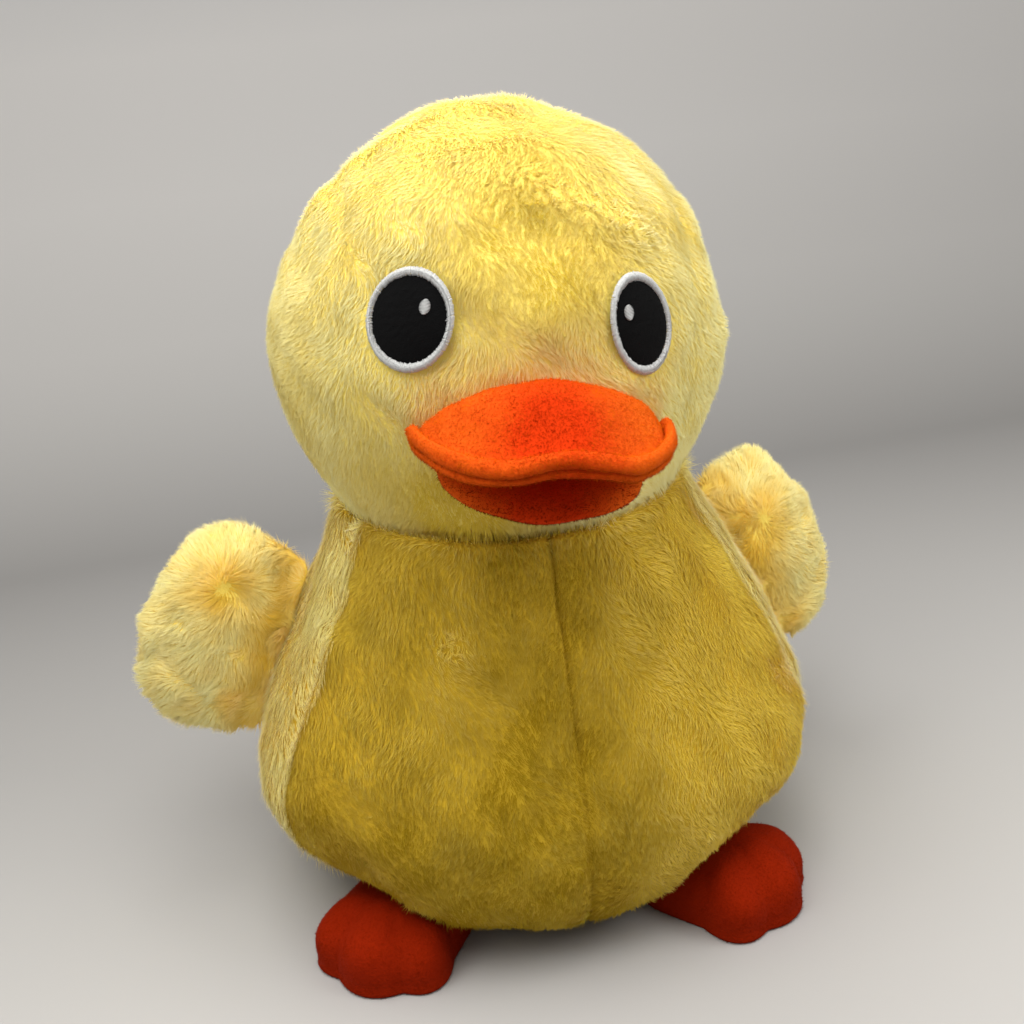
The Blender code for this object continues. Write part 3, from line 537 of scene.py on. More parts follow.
def cloth_finish(name, colour, pale_mix, scale, bump=0.4, roughness=0.9, sheen=0.1):
    """Cloth with a short nap."""
    tree, shader = finish(name, {"Roughness": roughness, "Specular IOR Level": 0.06, "Sheen Weight": sheen})
    nap = add_node(
        tree, "Group", {"Colour": (*colour, 1), "Pale Colour": (*pale_mix, 1), "Scale": scale},
        node_tree=bpy.data.node_groups["short_nap"],
    )
    raised = add_node(tree, "Bump", {"Strength": bump, "Distance": NAP_DEPTH})
    wire(
        tree,
        (nap, "Color", shader, "Base Color"),
        (nap, "Height", raised, "Height"),
        (raised, "Normal", shader, "Normal"),
    )


def thread_finish(name, colour, dark):
    """Glossy embroidery thread with a faint twist."""
    tree, shader = finish(name, {"Roughness": 0.42, "Specular IOR Level": 0.5, "Sheen Weight": 0.1})
    place = add_node(tree, "TexCoord")
    twist = add_node(tree, "TexNoise", {"Scale": 900})
    mixed = add_node(tree, "Mix", {"A": (*dark, 1), "B": (*colour, 1)}, data_type="RGBA")
    wire(
        tree,
        (place, "Object", twist, "Vector"),
        (twist, "Fac", mixed, "Factor"),
        (mixed, "Result", shader, "Base Color"),
    )


def backdrop_paper():
    """Matt paper with painted light and shade: pale in front, greyer behind the duck and pale again where it
    rises.
    """
    tree, shader = finish("backdrop_paper", {"Roughness": 0.9, "Specular IOR Level": 0.1})
    place = add_node(tree, "TexCoord")
    parts = add_node(tree, "SeparateXYZ")
    rise = add_node(tree, "Math")
    far = add_node(tree, "MapRange", {"From Min": PAPER_RANGE[0], "From Max": PAPER_RANGE[1]})
    ramp = add_node(tree, "ValToRGB")
    greys = ramp.color_ramp.elements
    for at, grey in PAPER_PAINTED_LIGHT_GREYS:
        spot = greys.new(at)
        spot.color = (*(grey * share for share in PAPER_TINT), 1)
    greys.remove(greys[0])
    greys.remove(greys[-1])
    wire(
        tree,
        (place, "Object", parts, "Vector"),
        (parts, "Y", rise, 0),
        (parts, "Z", rise, 1),
        (rise, "Value", far, "Value"),
        (far, "Result", ramp, "Fac"),
        (ramp, "Color", shader, "Base Color"),
    )


def make_finishes():
    """Every cloth, thread, pile and nap of the duck. A nap has no glow."""
    lock_colour_group()
    cloth_group()
    for name, look in CLOTHS.items():
        cloth_finish(name, *look)
    thread_finish("silver_thread", THREAD, THREAD_SHADOW)
    for name, colours in PILES.items():
        pile_finish(name, *colours, PILE_GLOW)
    for name, colours in NAPS.items():
        pile_finish(name, *colours, 0)


# Pile

# Strength, wavelength and seed of each field that draws locks together
GATHERS = ((1.0, 5 * MM, 11), (0.5, 2.4 * MM, 17))

# Least and most share of a lock's reach and width, its root's depth, and how low it may lie
LOCK_REACHES = (0.75, 1.15)
LOCK_HALF_WIDTHS = (0.35, 0.62)
LOCK_ROOT_DEPTH = 0.4 * MM
LOCK_LOWEST = 0.5 * MM
LOCK_LOWEST_RISE = 0.10
LOCK_FACES = ((0, 2, 1), (0, 1, 3), (1, 2, 3), (2, 0, 3))
LOCK_CORNERS = 4
TONE_LEVELS = 64

# Where the corners of a lock lie on its colour chart: across one tone's strip, and root to tip
CHART_ACROSS = (-0.4, 0.4, 0.0, 0.0)
CHART_ALONG = (0.01, 0.01, 0.03, 0.99)


def spread_roots(skin, count, seed, wanted=None):
    """Places and normals spread evenly by area over a skin, where wanted is high."""
    mesh = skin.data
    mesh.calc_loop_triangles()
    corners = read_rows(mesh.loop_triangles, "vertices", np.int32)
    places = read_rows(mesh.vertices, "co").astype(float)
    normals = read_rows(mesh.vertex_normals, "vector").astype(float)
    a, b, c = (places[corners[:, side]] for side in range(3))
    area = np.linalg.norm(np.cross(b - a, c - a), axis=1) / 2
    if wanted is not None:
        area = area * wanted((a + b + c) / 3)
    total = np.cumsum(area)
    rng = np.random.default_rng(seed)
    count = max(int(count * COAT_SHARE), 10)
    picks = (np.arange(count) + rng.random(count)) / count * total[-1]
    chosen = np.clip(np.searchsorted(total, picks), 0, len(area) - 1)
    first, second = rng.random((2, count))
    flip = first + second > 1
    first = np.where(flip, 1 - first, first)
    second = np.where(flip, 1 - second, second)
    weights = np.stack([1 - first - second, first, second], axis=1)[..., None]
    place = (places[corners[chosen]] * weights).sum(axis=1)
    normal = unit((normals[corners[chosen]] * weights).sum(axis=1))
    return place, normal, rng


def grow_locks(
    name, roots, combed, reach, width, lean, tone, material, body, clump, stray, evenness=0.25
):
    """A coat of pile: one closed three-sided spike for each lock, leaning the way it is combed.

    Its tip is its root plus its reach times (the combed direction times cos lean, plus the
    normal times sin lean), drawn towards its neighbours by a field that changes every few
    millimetres, so that locks gather. A face turned the way that the cloth faces is shaded as
    the cloth is and one turned sideways as itself; evenness draws both towards the cloth's.
    """
    place, normal, rng = roots
    count = len(place)

    def column(value):
        return np.broadcast_to(value, (count,))[:, None]

    def level(vectors):
        return vectors - (vectors * normal).sum(axis=1, keepdims=True) * normal

    flow = unit(level(combed))
    gather = sum(share * drift(place, wavelength, seed) for share, wavelength, seed in GATHERS)
    gathered = column(clump) * level(gather)
    strayed = stray * rng.normal(size=(count, 3))
    reach = column(reach) * rng.uniform(*LOCK_REACHES, (count, 1))
    half = column(width) * rng.uniform(*LOCK_HALF_WIDTHS, (count, 1))
    way = unit(flow * np.cos(column(lean)) + normal * np.sin(column(lean)) + gathered + strayed)
    rise = (way * normal).sum(axis=1, keepdims=True)
    way = unit(way + normal * np.clip(LOCK_LOWEST_RISE - rise, 0, None))
    side = unit(np.cross(normal, way))
    ahead = np.cross(side, normal)
    base = place - normal * LOCK_ROOT_DEPTH
    tip = place + way * reach
    points = np.stack([base + side * half, base - side * half, base + ahead * half, tip], axis=1)
    points[..., 2] = np.maximum(points[..., 2], LOCK_LOWEST)
    corners = np.array(LOCK_FACES)
    index = (np.arange(count) * LOCK_CORNERS)[:, None, None] + corners[None]
    mesh = face_mesh(name, points.reshape(-1, 3), index.reshape(-1, 3))

    a, b, c = (points[:, corners[:, corner]] for corner in range(3))
    facing = unit(np.cross(b - a, c - a))
    upright = np.clip((facing * normal[:, None]).sum(axis=-1), 0, 1)[..., None, None]
    soft = [normal + side * 0.3, normal - side * 0.3, normal + ahead * 0.2, normal + way * 0.15]
    soft = unit(np.stack(soft, axis=1))[:, corners]
    shading = unit(soft * upright + facing[:, :, None] * (1 - upright) + evenness * normal[:, None, None])

    exact = (np.clip((tone * TONE_LEVELS).astype(int), 0, TONE_LEVELS - 1) + 0.5) / TONE_LEVELS
    store(mesh, "tone", np.repeat(exact, LOCK_CORNERS))
    store(mesh, "along", np.tile(CHART_ALONG, count))
    across = exact[:, None] + np.array(CHART_ACROSS)[corners.ravel()][None] / TONE_LEVELS
    chart = mesh.uv_layers.new(name="OFBake")
    spots = joined(across, np.array(CHART_ALONG)[corners.ravel()])
    chart.data.foreach_set("uv", spots.astype(np.float32).ravel())
    mesh.shade_smooth()
    mesh.normals_split_custom_set(shading.reshape(-1, 3))
    return trim(name, mesh, material, body)


# Body

BODY_PANELS = [part + side for part in ("belly_", "side_", "back_") for side in ("left", "right")]
SEAT_HEIGHT = 0.6 * MM
SEAT_ROWS = 8
WALL_ROWS = 80
DISH_ROWS = 24
DISH_DEPTH = 1.5 * MM
DISH_STEP_SHARE = 1 / 6
BODY_COLUMN_STEP = 3
SEAM_COLUMNS = (-3.2, -2.2, -1.5, -1.0, -0.5, 0, 0.5, 1.0, 1.5, 2.2, 3.2)

# A seam's nick and the valley that it lies in: depth and half width
SEAM_NICK = (1.6 * MM, 1.3 * MM)
SEAM_VALLEY = (1.4 * MM, 4.5 * MM)

# Radius that turns an angle off a seam into a distance, and shares of the rows where depths grow to full
SEAM_RADIUS = 100 * MM
SEAM_START_SHARE = 0.06
BODY_HILLS = ((1.2 * MM, 70 * MM, 3), (0.5 * MM, 24 * MM, 5))
HILLS_START_SHARE = 0.25

# Height on the axis that hills and dents push away from, and the share of their rise that is kept
OUTWARD_HEIGHT = 100 * MM
OUTWARD_RISE = 0.35

# The crease on the chest runs between two points and ends at tufts that stand up
CHEST_CREASE = ((-0.0531, -0.0653, 0.1857), (-0.0425, -0.081, 0.1662))
CHEST_DENT = (1.8 * MM, 4 * MM)
CRUSHED_TUFTS = (-0.0457, -0.083, 0.1586)
CRUSHED_SPREAD = 7 * MM

# Name, seed, locks, first and last angle, and plush of each coat
BODY_COATS = (
    ("belly_left", 1, 49000, 0, BELLY_SEAM, "belly_plush"),
    ("belly_right", 2, 49000, -BELLY_SEAM, 0, "belly_plush"),
    ("side_left", 3, 20000, BELLY_SEAM, BACK_SEAM, "side_plush"),
    ("side_right", 4, 20000, -BACK_SEAM, -BELLY_SEAM, "side_plush"),
    ("back_left", 5, 19000, BACK_SEAM, math.pi, "back_plush"),
    ("back_right", 6, 19000, -math.pi, -BACK_SEAM, "back_plush"),
)

# Reach, width, lean in degrees and finish of the locks
SIDE_LOCKS = (7.8 * MM, 0.58 * MM, 12, "side_pile")
SHORT_LOCKS = (4.1 * MM, 0.45 * MM, 22, "gold_pile")

# How the pile is combed, where it ends, how uneven it is, and the seams and collar in it
SWIRLS = ((0.40, 75 * MM, 23), (0.30, 26 * MM, 29))
SIDE_SWEEP = 0.8
PILE_FLOOR = 2 * MM
UNDER_COLLAR = 0.5 * MM
PILE_STRAY = 0.06
PILE_UNEVENNESS = 0.10
BODY_PILE_HILLS = 30 * MM
PARTING_WIDTH = 1.1 * MM
COLLAR_LENGTH = 6 * MM

# Degrees that locks stand up further in crushed tufts and in the collar under the head
CRUSHED_LEAN = 26
COLLAR_LEAN = 34

# How much locks gather, and how much more in crushed tufts and low on the body
BODY_CLUMP = 0.10
CRUSHED_CLUMP = 0.5
LOW_CLUMP = 0.12
LOW_CLUMP_TOP = 130 * MM
LOW_CLUMP_HEIGHT = 80 * MM

# Tone of the pile, its mottle, and how much darker it is in partings and in the hollows; the hollows'
# darkening is painted shade, and the paleness to the left painted light
BODY_TONE = 0.72
BODY_MOTTLE = ((0.09, 24 * MM, 51), (0.04, 6 * MM, 57))
PARTING_SHADE = 0.3
HOLLOW_SHADE = 0.42
MIDDLE_HOLLOW = (-10 * MM, 30 * MM)
LOW_HOLLOW_TOP = 140 * MM
LOW_HOLLOW_HEIGHT = 70 * MM
LEFT_PALENESS = 0.5
LEFT_PALE_MIDDLE = 35 * MM
LEFT_PALE_WIDTH = 60 * MM
LEFT_PALE_LOSS = 0.18
TONE_SCATTER = 0.05


def neck_edge_height(inset):
    """Height at which a body grown inwards by inset meets the ball of the head's collar."""
    return HEAD_HEIGHT - math.sqrt(COLLAR_RADIUS**2 - (NECK_WIDTH / 2 - inset) ** 2)


def body_skin(angle, share, inset):
    """Points of the body: level super-ovals, their size by height, rounded under and tapered above."""
    widest = WIDEST_SHARE * neck_edge_height(0)
    lower = np.clip(share / LOWER_ROWS_SHARE, 0, 1)
    turn = lower * math.pi / 2
    climb = np.clip((share - LOWER_ROWS_SHARE) / (1 - LOWER_ROWS_SHARE), 0, 1)
    knee = SHOULDER_ROUND_SHARE
    taper = 1 - (np.sqrt(climb**2 + knee**2) - knee) / (math.sqrt(1 + knee**2) - knee)
    below = share < LOWER_ROWS_SHARE
    belly = np.where(below, np.sin(turn) ** (2 / UNDERSIDE_SQUARENESS), taper)
    rise = 1 - np.cos(turn) ** (2 / UNDERSIDE_SQUARENESS)
    low_edge = np.where(below, BASE_WIDTH / 2, NECK_WIDTH / 2 - inset)
    half_width = low_edge + (BODY_WIDTH / 2 - inset - low_edge) * belly
    half_depth = low_edge + (BODY_DEPTH / 2 - inset - low_edge) * belly
    height = inset + (widest - inset) * rise + (neck_edge_height(inset) - widest) * climb
    squareness = 2 + (BELLY_SQUARENESS - 2) * belly
    off_front = np.arccos(np.clip(np.cos(angle), -1, 1))
    foot = np.where(np.sin(angle) > 0, FOOT_ANGLES["left"], -FOOT_ANGLES["right"])
    height = height + FOOT_DENT * np.sin(lower * math.pi) * fold(off_front - foot, FOOT_DENT_SPREAD)
    x = half_width * power(np.sin(angle), 2 / squareness)
    y = -BODY_FORWARD * belly - half_depth * power(np.cos(angle), 2 / squareness)
    return joined(x, y, height)


def off_seam(angle):
    """The smallest angle from a direction to one of the six upright seams."""
    angle = np.abs((angle + math.pi) % (2 * math.pi) - math.pi)
    seams = np.array([0, BELLY_SEAM, BACK_SEAM, math.pi])
    return np.abs(angle[..., None] - seams).min(axis=-1)


def neck_dish(rim):
    """Rows that close the neck: from its rim down round the ball of the head to its lowest point."""
    middle = np.array([0, 0, HEAD_HEIGHT])
    spoke = rim - middle
    radius = np.linalg.norm(spoke, axis=-1, keepdims=True)
    closing = np.arccos(-spoke[..., 2:] / radius) * np.linspace(1, 0, DISH_ROWS)[:, None, None]
    turn = np.arctan2(spoke[..., :1], -spoke[..., 1:2])
    step = smooth(np.linspace(0, 1, DISH_ROWS) / DISH_STEP_SHARE)[:, None, None]
    around = [np.sin(closing) * np.sin(turn), -np.sin(closing) * np.cos(turn), -np.cos(closing)]
    return middle + (radius + DISH_DEPTH * step) * np.concatenate(around, axis=-1)


def make_body():
    """The whole body as one stuffed skin, creased along its seams and dished for the head."""
    seams = np.array([0, BELLY_SEAM, BACK_SEAM, math.pi, -BACK_SEAM, -BELLY_SEAM])
    beside = (seams[:, None] + np.array(SEAM_COLUMNS) * DEG).ravel()
    angle = np.concatenate([np.arange(0, 360, BODY_COLUMN_STEP) * DEG, beside]) % (2 * math.pi)
    angle = np.unique(np.round(angle, 4))[None, :]
    share = np.linspace(0, 1, WALL_ROWS)[:, None]
    wall = body_skin(angle, share + 0 * angle, BODY_CLOTH)
    outward = unit((wall - [0, 0, OUTWARD_HEIGHT]) * [1, 1, OUTWARD_RISE])
    near = off_seam(angle) * SEAM_RADIUS
    crease = (dip(near, *SEAM_NICK) + dip(near, *SEAM_VALLEY)) * smooth(share / SEAM_START_SHARE)
    uneven = layered(wall, *BODY_HILLS) * smooth(share / HILLS_START_SHARE)
    dent = dip(beside_line(wall, *CHEST_CREASE), *CHEST_DENT)
    wall = wall + outward * (uneven - crease - dent)[..., None]
    wall[..., 2] = np.maximum(wall[..., 2], SEAT_HEIGHT)
    seat = np.linspace(0, 1, SEAT_ROWS)[:, None, None] * (wall[:1] * [1, 1, 0]) + [0, 0, SEAT_HEIGHT]
    grid = np.concatenate([seat[:-1], wall, neck_dish(wall[-1:])[1:]])
    return stuffed(
        "body_cloth", grid, "yellow_backing", "torso", BODY_PANELS + ["base_panel", "body_filling"],
    )


def downward(points, normal):
    """Down along a surface, forward on its top, with slow swirls where hands have brushed the pile."""
    top = smooth(normal[:, 2:] / 0.6)
    fall = np.concatenate([0 * top, -0.75 * top, -1 + 0.3 * top], axis=1)
    down = unit(fall - (fall * normal).sum(axis=1, keepdims=True) * normal)
    sideways = np.cross(normal, down)
    swirl = layered(points, *SWIRLS)
    return down * np.cos(swirl)[:, None] + sideways * np.sin(swirl)[:, None]


def body_angle(points):
    """Angle round the body from its front."""
    return np.arctan2(points[:, 0], -(points[:, 1] + BODY_FORWARD))


def belly_painted_light(place):
    """How much paler the belly and back are: less near the middle and low down (painted shade), more to the
    left (painted light).
    """
    middle, width = MIDDLE_HOLLOW
    low = smooth((LOW_HOLLOW_TOP - place[:, 2]) / LOW_HOLLOW_HEIGHT)
    hollow = fold(place[:, 0] - middle, width) + low * smooth(0.7 - place[:, 0] / LEFT_PALE_WIDTH)
    left = smooth(0.5 + (place[:, 0] - LEFT_PALE_MIDDLE) / LEFT_PALE_WIDTH)
    return LEFT_PALENESS * left - LEFT_PALE_LOSS - HOLLOW_SHADE * np.clip(hollow, 0, 1)


def coat_body(skin):
    """Pile on the panels of the body: short gold on belly and back, longer and paler at the sides."""
    for name, seed, count, first, last, slot in BODY_COATS:
        def wanted(points, first=first, last=last):
            angle = body_angle(points)
            off_head = np.linalg.norm(points - [0, 0, HEAD_HEIGHT], axis=1)
            in_air = (off_head >= COLLAR_RADIUS - UNDER_COLLAR) & (points[:, 2] >= PILE_FLOOR)
            return in_air & (angle >= first) & (angle < last)

        roots = spread_roots(skin, count, seed, wanted)
        place, normal, rng = roots
        side_panel = slot == "side_plush"
        reach, width, lean, finish_name = SIDE_LOCKS if side_panel else SHORT_LOCKS
        combed = downward(place, normal)
        if side_panel:
            front = np.sign(place[:, :1]) * np.cross(normal, [0, 0, 1.0])
            combed = unit(combed + SIDE_SWEEP * front)
        parting = fold(np.abs(np.sin(body_angle(place))) * SEAM_RADIUS, PARTING_WIDTH)
        crushed = fold(np.linalg.norm(place - CRUSHED_TUFTS, axis=1), CRUSHED_SPREAD)
        off_collar = np.linalg.norm(place - [0, 0, HEAD_HEIGHT], axis=1) - COLLAR_RADIUS
        collar = smooth(1 - off_collar / COLLAR_LENGTH)
        tone = BODY_TONE + layered(place, *BODY_MOTTLE) - PARTING_SHADE * parting
        if not side_panel:
            tone = tone + belly_painted_light(place)
        # The pile near the collar under the head is paler: painted light against the shade at the neck
        tone = tone + 0.3 * crushed + 0.25 * collar + TONE_SCATTER * rng.normal(size=len(place))
        uneven = (1 + PILE_UNEVENNESS * hills(place, BODY_PILE_HILLS, seed + 40)) * (1 - 0.5 * parting)
        low = smooth((LOW_CLUMP_TOP - place[:, 2]) / LOW_CLUMP_HEIGHT)
        grow_locks(
            "pile_" + name, roots, combed, reach * uneven * (1 + 0.3 * collar), width,
            (lean + CRUSHED_LEAN * crushed + COLLAR_LEAN * collar) * DEG, np.clip(tone, 0, 1),
            finish_name, "torso",
            clump=BODY_CLUMP + CRUSHED_CLUMP * crushed + LOW_CLUMP * low, stray=PILE_STRAY,
        )


# Head

HEAD_PANELS = ["head_face_gusset", "head_back_gusset", "cheek_left", "cheek_right"]
HEAD_ROWS = 110
HEAD_COLUMNS = 150
SMOOTH_NECK_SHARE = 0.35
SMOOTH_NECK_BLEND_SHARE = 0.5
CHEEK_CREASE = (1.6 * MM, 0.04)

# Depth, direction from the head's centre and spread of each dent, and of the full cheek
HEAD_DENTS = ((6.5 * MM, (-0.769, 0.365, 0.525), 0.30), (2.5 * MM, (-0.85, -0.305, 0.428), 0.13))
FULL_CHEEK = (1.8 * MM, (-0.94, -0.20, 0.0), 0.33)
HEAD_HILLS = ((1.0 * MM, 60 * MM, 7), (0.4 * MM, 22 * MM, 9))

# The fold on the brow: two directions that it runs between, its ridge and the hollow beside it
BROW_RUFFLE = ((-0.006, -0.658, 0.753), (0.435, -0.662, 0.611))
BROW_RIDGE = (1.6 * MM, 6 * MM)
BROW_HOLLOW = (0.8 * MM, 6 * MM)
BROW_HOLLOW_OFFSET = 13 * MM

# Name, seed and locks of each coat
HEAD_COATS = (
    ("face", 11, 49900), ("head_back", 12, 24000), ("cheek_left", 13, 27000), ("cheek_right", 14, 29000),
)

# Locks of the head: leans are in degrees, and the ruffle and the fringe at the neck add theirs
HEAD_LOCK_REACH = 4.3 * MM
HEAD_LOCK_WIDTH = 0.46 * MM
HEAD_LOCK_LEAN = 21
RUFFLE_LEAN = 18
FRINGE_LEAN = 18
HEAD_CLUMP = 0.11
RUFFLE_CLUMP = 0.4
CHEEK_SWEEP = 0.5
CHEEK_SWEEP_SHARE = 0.3
FRINGE_ANGLE = 9 * DEG
HEAD_PILE_HILLS = 28 * MM
RUFFLE_SHARE = 0.10
HEAD_MOTTLE = ((0.06, 26 * MM, 61), (0.03, 6 * MM, 67))

# In sizes of an eye, where pile starts; then its share of full reach there and the width it grows over
EYE_CLEARANCE = 1.04
EYE_HUG = (0.55, 0.35)

# How much lower the pile's tone is, in which direction from the head's centre, and how wide
FACE_TONES_AND_PAINTED_LIGHT = (
    # A deeper yellow down the face and on the crown
    (0.9, (0.04, -0.90, 0.45), 0.46),
    (0.65, (-0.05, -0.40, 0.91), 0.48),
    # Painted shade under the chin
    (1.15, (-0.25, -0.8, -0.5), 0.42),
    # Painted light above the beak
    (-0.5, (0.06, -0.99, 0.10), 0.22),
    # Painted shade on the right cheek
    (0.4, (-0.93, -0.35, -0.12), 0.42),
)


def head_frame():
    """The head's turn and place."""
    posture = Matrix.Rotation(HEAD_TURN, 4, "Z") @ Matrix.Rotation(HEAD_ROLL, 4, "Y")
    return Matrix.Translation((0, 0, HEAD_HEIGHT)) @ posture


def beak_frame():
    """The head's frame, turned to where the beak points."""
    return head_frame() @ Matrix.Rotation(BEAK_TURN, 4, "Z")


def head_reach(direction):
    """Distance from the head's centre to its surface: a ball at the neck, fuller above."""
    x, y, z = direction[..., 0], direction[..., 1], direction[..., 2]
    depth = BALL_RADIUS + np.where(y < 0, FRONT_GROWTH, BACK_GROWTH)
    oval = (x / (BALL_RADIUS + SIDE_GROWTH)) ** 2 + (y / depth) ** 2 + (z / (BALL_RADIUS + TOP_GROWTH)) ** 2
    start, end = math.cos(BALL_END), math.cos(BULGE_END)
    return BALL_RADIUS + (1 / np.sqrt(oval) - BALL_RADIUS) * smooth((start + z) / (start - end))


def aim(azimuth, elevation):
    """Directions at an azimuth from the front and an elevation."""
    level = np.cos(elevation)
    return joined(np.sin(azimuth) * level, -np.cos(azimuth) * level, np.sin(elevation))


def mound(direction, middle, spread):
    """1 in one direction from the head's centre and less round it: a fold of the angle to it."""
    return fold(np.arccos(np.clip(direction @ unit(np.array(middle)), -1, 1)), spread)


def make_head():
    """The head's skin: its ball with cheek creases, a dent at the upper right and a brow fold."""
    polar = np.linspace(0, math.pi, HEAD_ROWS)[:, None]
    turn = round_turn(HEAD_COLUMNS)
    direction = joined(np.sin(polar) * np.sin(turn), -np.sin(polar) * np.cos(turn), -np.cos(polar))
    above = smooth((direction[..., 2] + SMOOTH_NECK_SHARE) / SMOOTH_NECK_BLEND_SHARE)
    crease = dip(np.abs(direction[..., 0]) - CHEEK_SEAM_SHARE, *CHEEK_CREASE)
    ridge = beside_line(direction, *BROW_RUFFLE) * BALL_RADIUS
    brow = dip(ridge, *BROW_RIDGE) - dip(ridge - BROW_HOLLOW_OFFSET, *BROW_HOLLOW)
    dent = sum(depth * mound(direction, middle, spread) for depth, middle, spread in HEAD_DENTS) - brow
    swell, middle, spread = FULL_CHEEK
    cheek = swell * mound(direction, middle, spread)
    uneven = layered(direction * BALL_RADIUS, *HEAD_HILLS)
    reach = head_reach(direction) - HEAD_CLOTH + above * (uneven + cheek - crease - dent)
    grid = placed(direction * reach[..., None], head_frame())
    nodes = HEAD_PANELS + ["head_filling"]
    return stuffed("head_cloth", grid, "lemon_backing", "head", nodes)


def eye_axes(side):
    """The middle of an eye on the head, and the directions across and up it."""
    middle = aim(EYE_AZIMUTHS[side], EYE_ELEVATION)
    level = unit(np.cross([0, 0, 1.0], middle))
    above = np.cross(middle, level)
    across = level * math.cos(EYE_TILTS[side]) + above * math.sin(EYE_TILTS[side])
    return middle, across, np.cross(middle, across)


def eye_distance(direction):
    """1 at the outer edge of the nearer eye, less inside it, for directions from the head's centre."""
    nearest = np.full(len(direction), 9.0)
    for side, width in EYE_WIDTHS.items():
        middle, across, up = eye_axes(side)
        ahead = direction @ middle
        scale = BALL_RADIUS / np.maximum(ahead, 0.05)
        x = (direction @ across) * scale / (width / 2)
        z = (direction @ up) * scale / (EYE_HEIGHT / 2)
        nearest = np.where(ahead > 0.5, np.minimum(nearest, np.hypot(x, z)), nearest)
    return nearest


def low_arch(across, corner, middle):
    """Elevation along a curved root: corner at its ends and middle half way."""
    return corner + (middle - corner) * (1 - across**2)


def in_beak(direction):
    """Whether a direction, in the beak's frame, lies under the root of either beak."""
    azimuth = np.arctan2(direction[:, 0], -direction[:, 1])
    elevation = np.arcsin(np.clip(direction[:, 2], -1, 1))
    across = azimuth / BEAK_SPREAD
    top = low_arch(across, BEAK_CORNER_ELEVATION, BEAK_TOP_ELEVATION)
    upper = (np.abs(across) < 1) & (elevation < top - 0.5 * DEG) & (elevation > BEAK_MOUTH_ELEVATION)
    across = azimuth / LOWER_SPREAD
    bottom = low_arch(across, LOWER_TOP_ELEVATION, LOWER_ROOT_ELEVATION)
    return upper | ((np.abs(across) < 1) & (elevation > bottom) & (elevation < 0))


def neck_polar(points):
    """Angle at the head's centre from straight down, by height."""
    return np.arccos(np.clip((HEAD_HEIGHT - points[:, 2]) / BALL_RADIUS, -1, 1))


def coat_head(skin):
    """Pale pile on the four panels of the head, kept off the eyes and the beak."""
    into_head = head_frame().inverted()
    into_beak = beak_frame().inverted()
    for name, seed, count in HEAD_COATS:
        def wanted(points, name=name):
            direction = unit(placed(points, into_head))
            cheek = np.abs(direction[:, 0]) > CHEEK_SEAM_SHARE
            panel = {
                "face": ~cheek & (direction[:, 1] < 0), "head_back": ~cheek & (direction[:, 1] >= 0),
                "cheek_left": cheek & (direction[:, 0] > 0), "cheek_right": cheek & (direction[:, 0] < 0),
            }[name]
            clear = (eye_distance(direction) > EYE_CLEARANCE) & ~in_beak(unit(placed(points, into_beak)))
            return panel & clear & (neck_polar(points) > NECK_ANGLE - 8 * DEG)

        roots = spread_roots(skin, count, seed, wanted)
        place, normal, rng = roots
        direction = unit(placed(place, into_head))
        combed = downward(place, normal)
        outward = -np.sign(direction[:, :1]) * np.cross(normal, [0, 0, 1.0])
        sweep = CHEEK_SWEEP * smooth(np.abs(direction[:, :1]) / CHEEK_SWEEP_SHARE)
        combed = unit(combed + sweep * outward * (direction[:, 1:2] < 0))
        tone = 1.0 + layered(place, *HEAD_MOTTLE)
        # The face's tones include painted shade under the chin and on the right cheek, and painted light
        # above the beak
        for share, middle, spread in FACE_TONES_AND_PAINTED_LIGHT:
            tone = tone - share * mound(direction, middle, spread)
        tone = np.clip(tone + TONE_SCATTER * rng.normal(size=len(place)), 0, 1)
        ruffle = fold(beside_line(direction, *BROW_RUFFLE), RUFFLE_SHARE)
        fringe = smooth(1 - (neck_polar(place) - NECK_ANGLE) / FRINGE_ANGLE)
        uneven = 1 + PILE_UNEVENNESS * hills(place, HEAD_PILE_HILLS, seed + 40)
        shortest, width = EYE_HUG
        beside_eye = shortest + (1 - shortest) * smooth((eye_distance(direction) - 1) / width)
        reach = HEAD_LOCK_REACH * uneven * (1 + 0.6 * fringe) * beside_eye
        grow_locks(
            "pile_" + name, roots, combed, reach, HEAD_LOCK_WIDTH,
            (HEAD_LOCK_LEAN + RUFFLE_LEAN * ruffle + FRINGE_LEAN * fringe) * DEG, tone,
            "lemon_pile", "head", clump=HEAD_CLUMP + RUFFLE_CLUMP * ruffle, stray=PILE_STRAY,
        )


# Eyes

FELT_COLUMNS = 96
FELT_BACK_ROWS = 6
FELT_FRONT_ROWS = 22
FELT_BACK = -0.8 * MM
FELT_EDGE = 0.2 * MM
FELT_CROWN = 1.3 * MM
FELT_ROUND_SHARE = 0.97
FELT_HILLS = (0.05 * MM, 3 * MM, 71)
FELT_UNDER_RIM = 0.2 * MM
RIM_STITCHES = 300
RIM_THREAD = 0.32 * MM
RIM_SKEW = 0.035
RIM_OVER_FELT = 0.3 * MM
RIM_LIFT = 0.5 * MM
RIM_ARCH = 1.1 * MM
GLINT_ROWS = 11
GLINT_THREAD = 0.28 * MM
GLINT_SIZE = (2.2 * MM, 2.8 * MM)
GLINT_PLACE = (6 * MM, 5.4 * MM)
GLINT_LIFT = 1.45 * MM
GLINT_ARCH = 0.45 * MM
GLINT_SLANT = 0.12 * MM


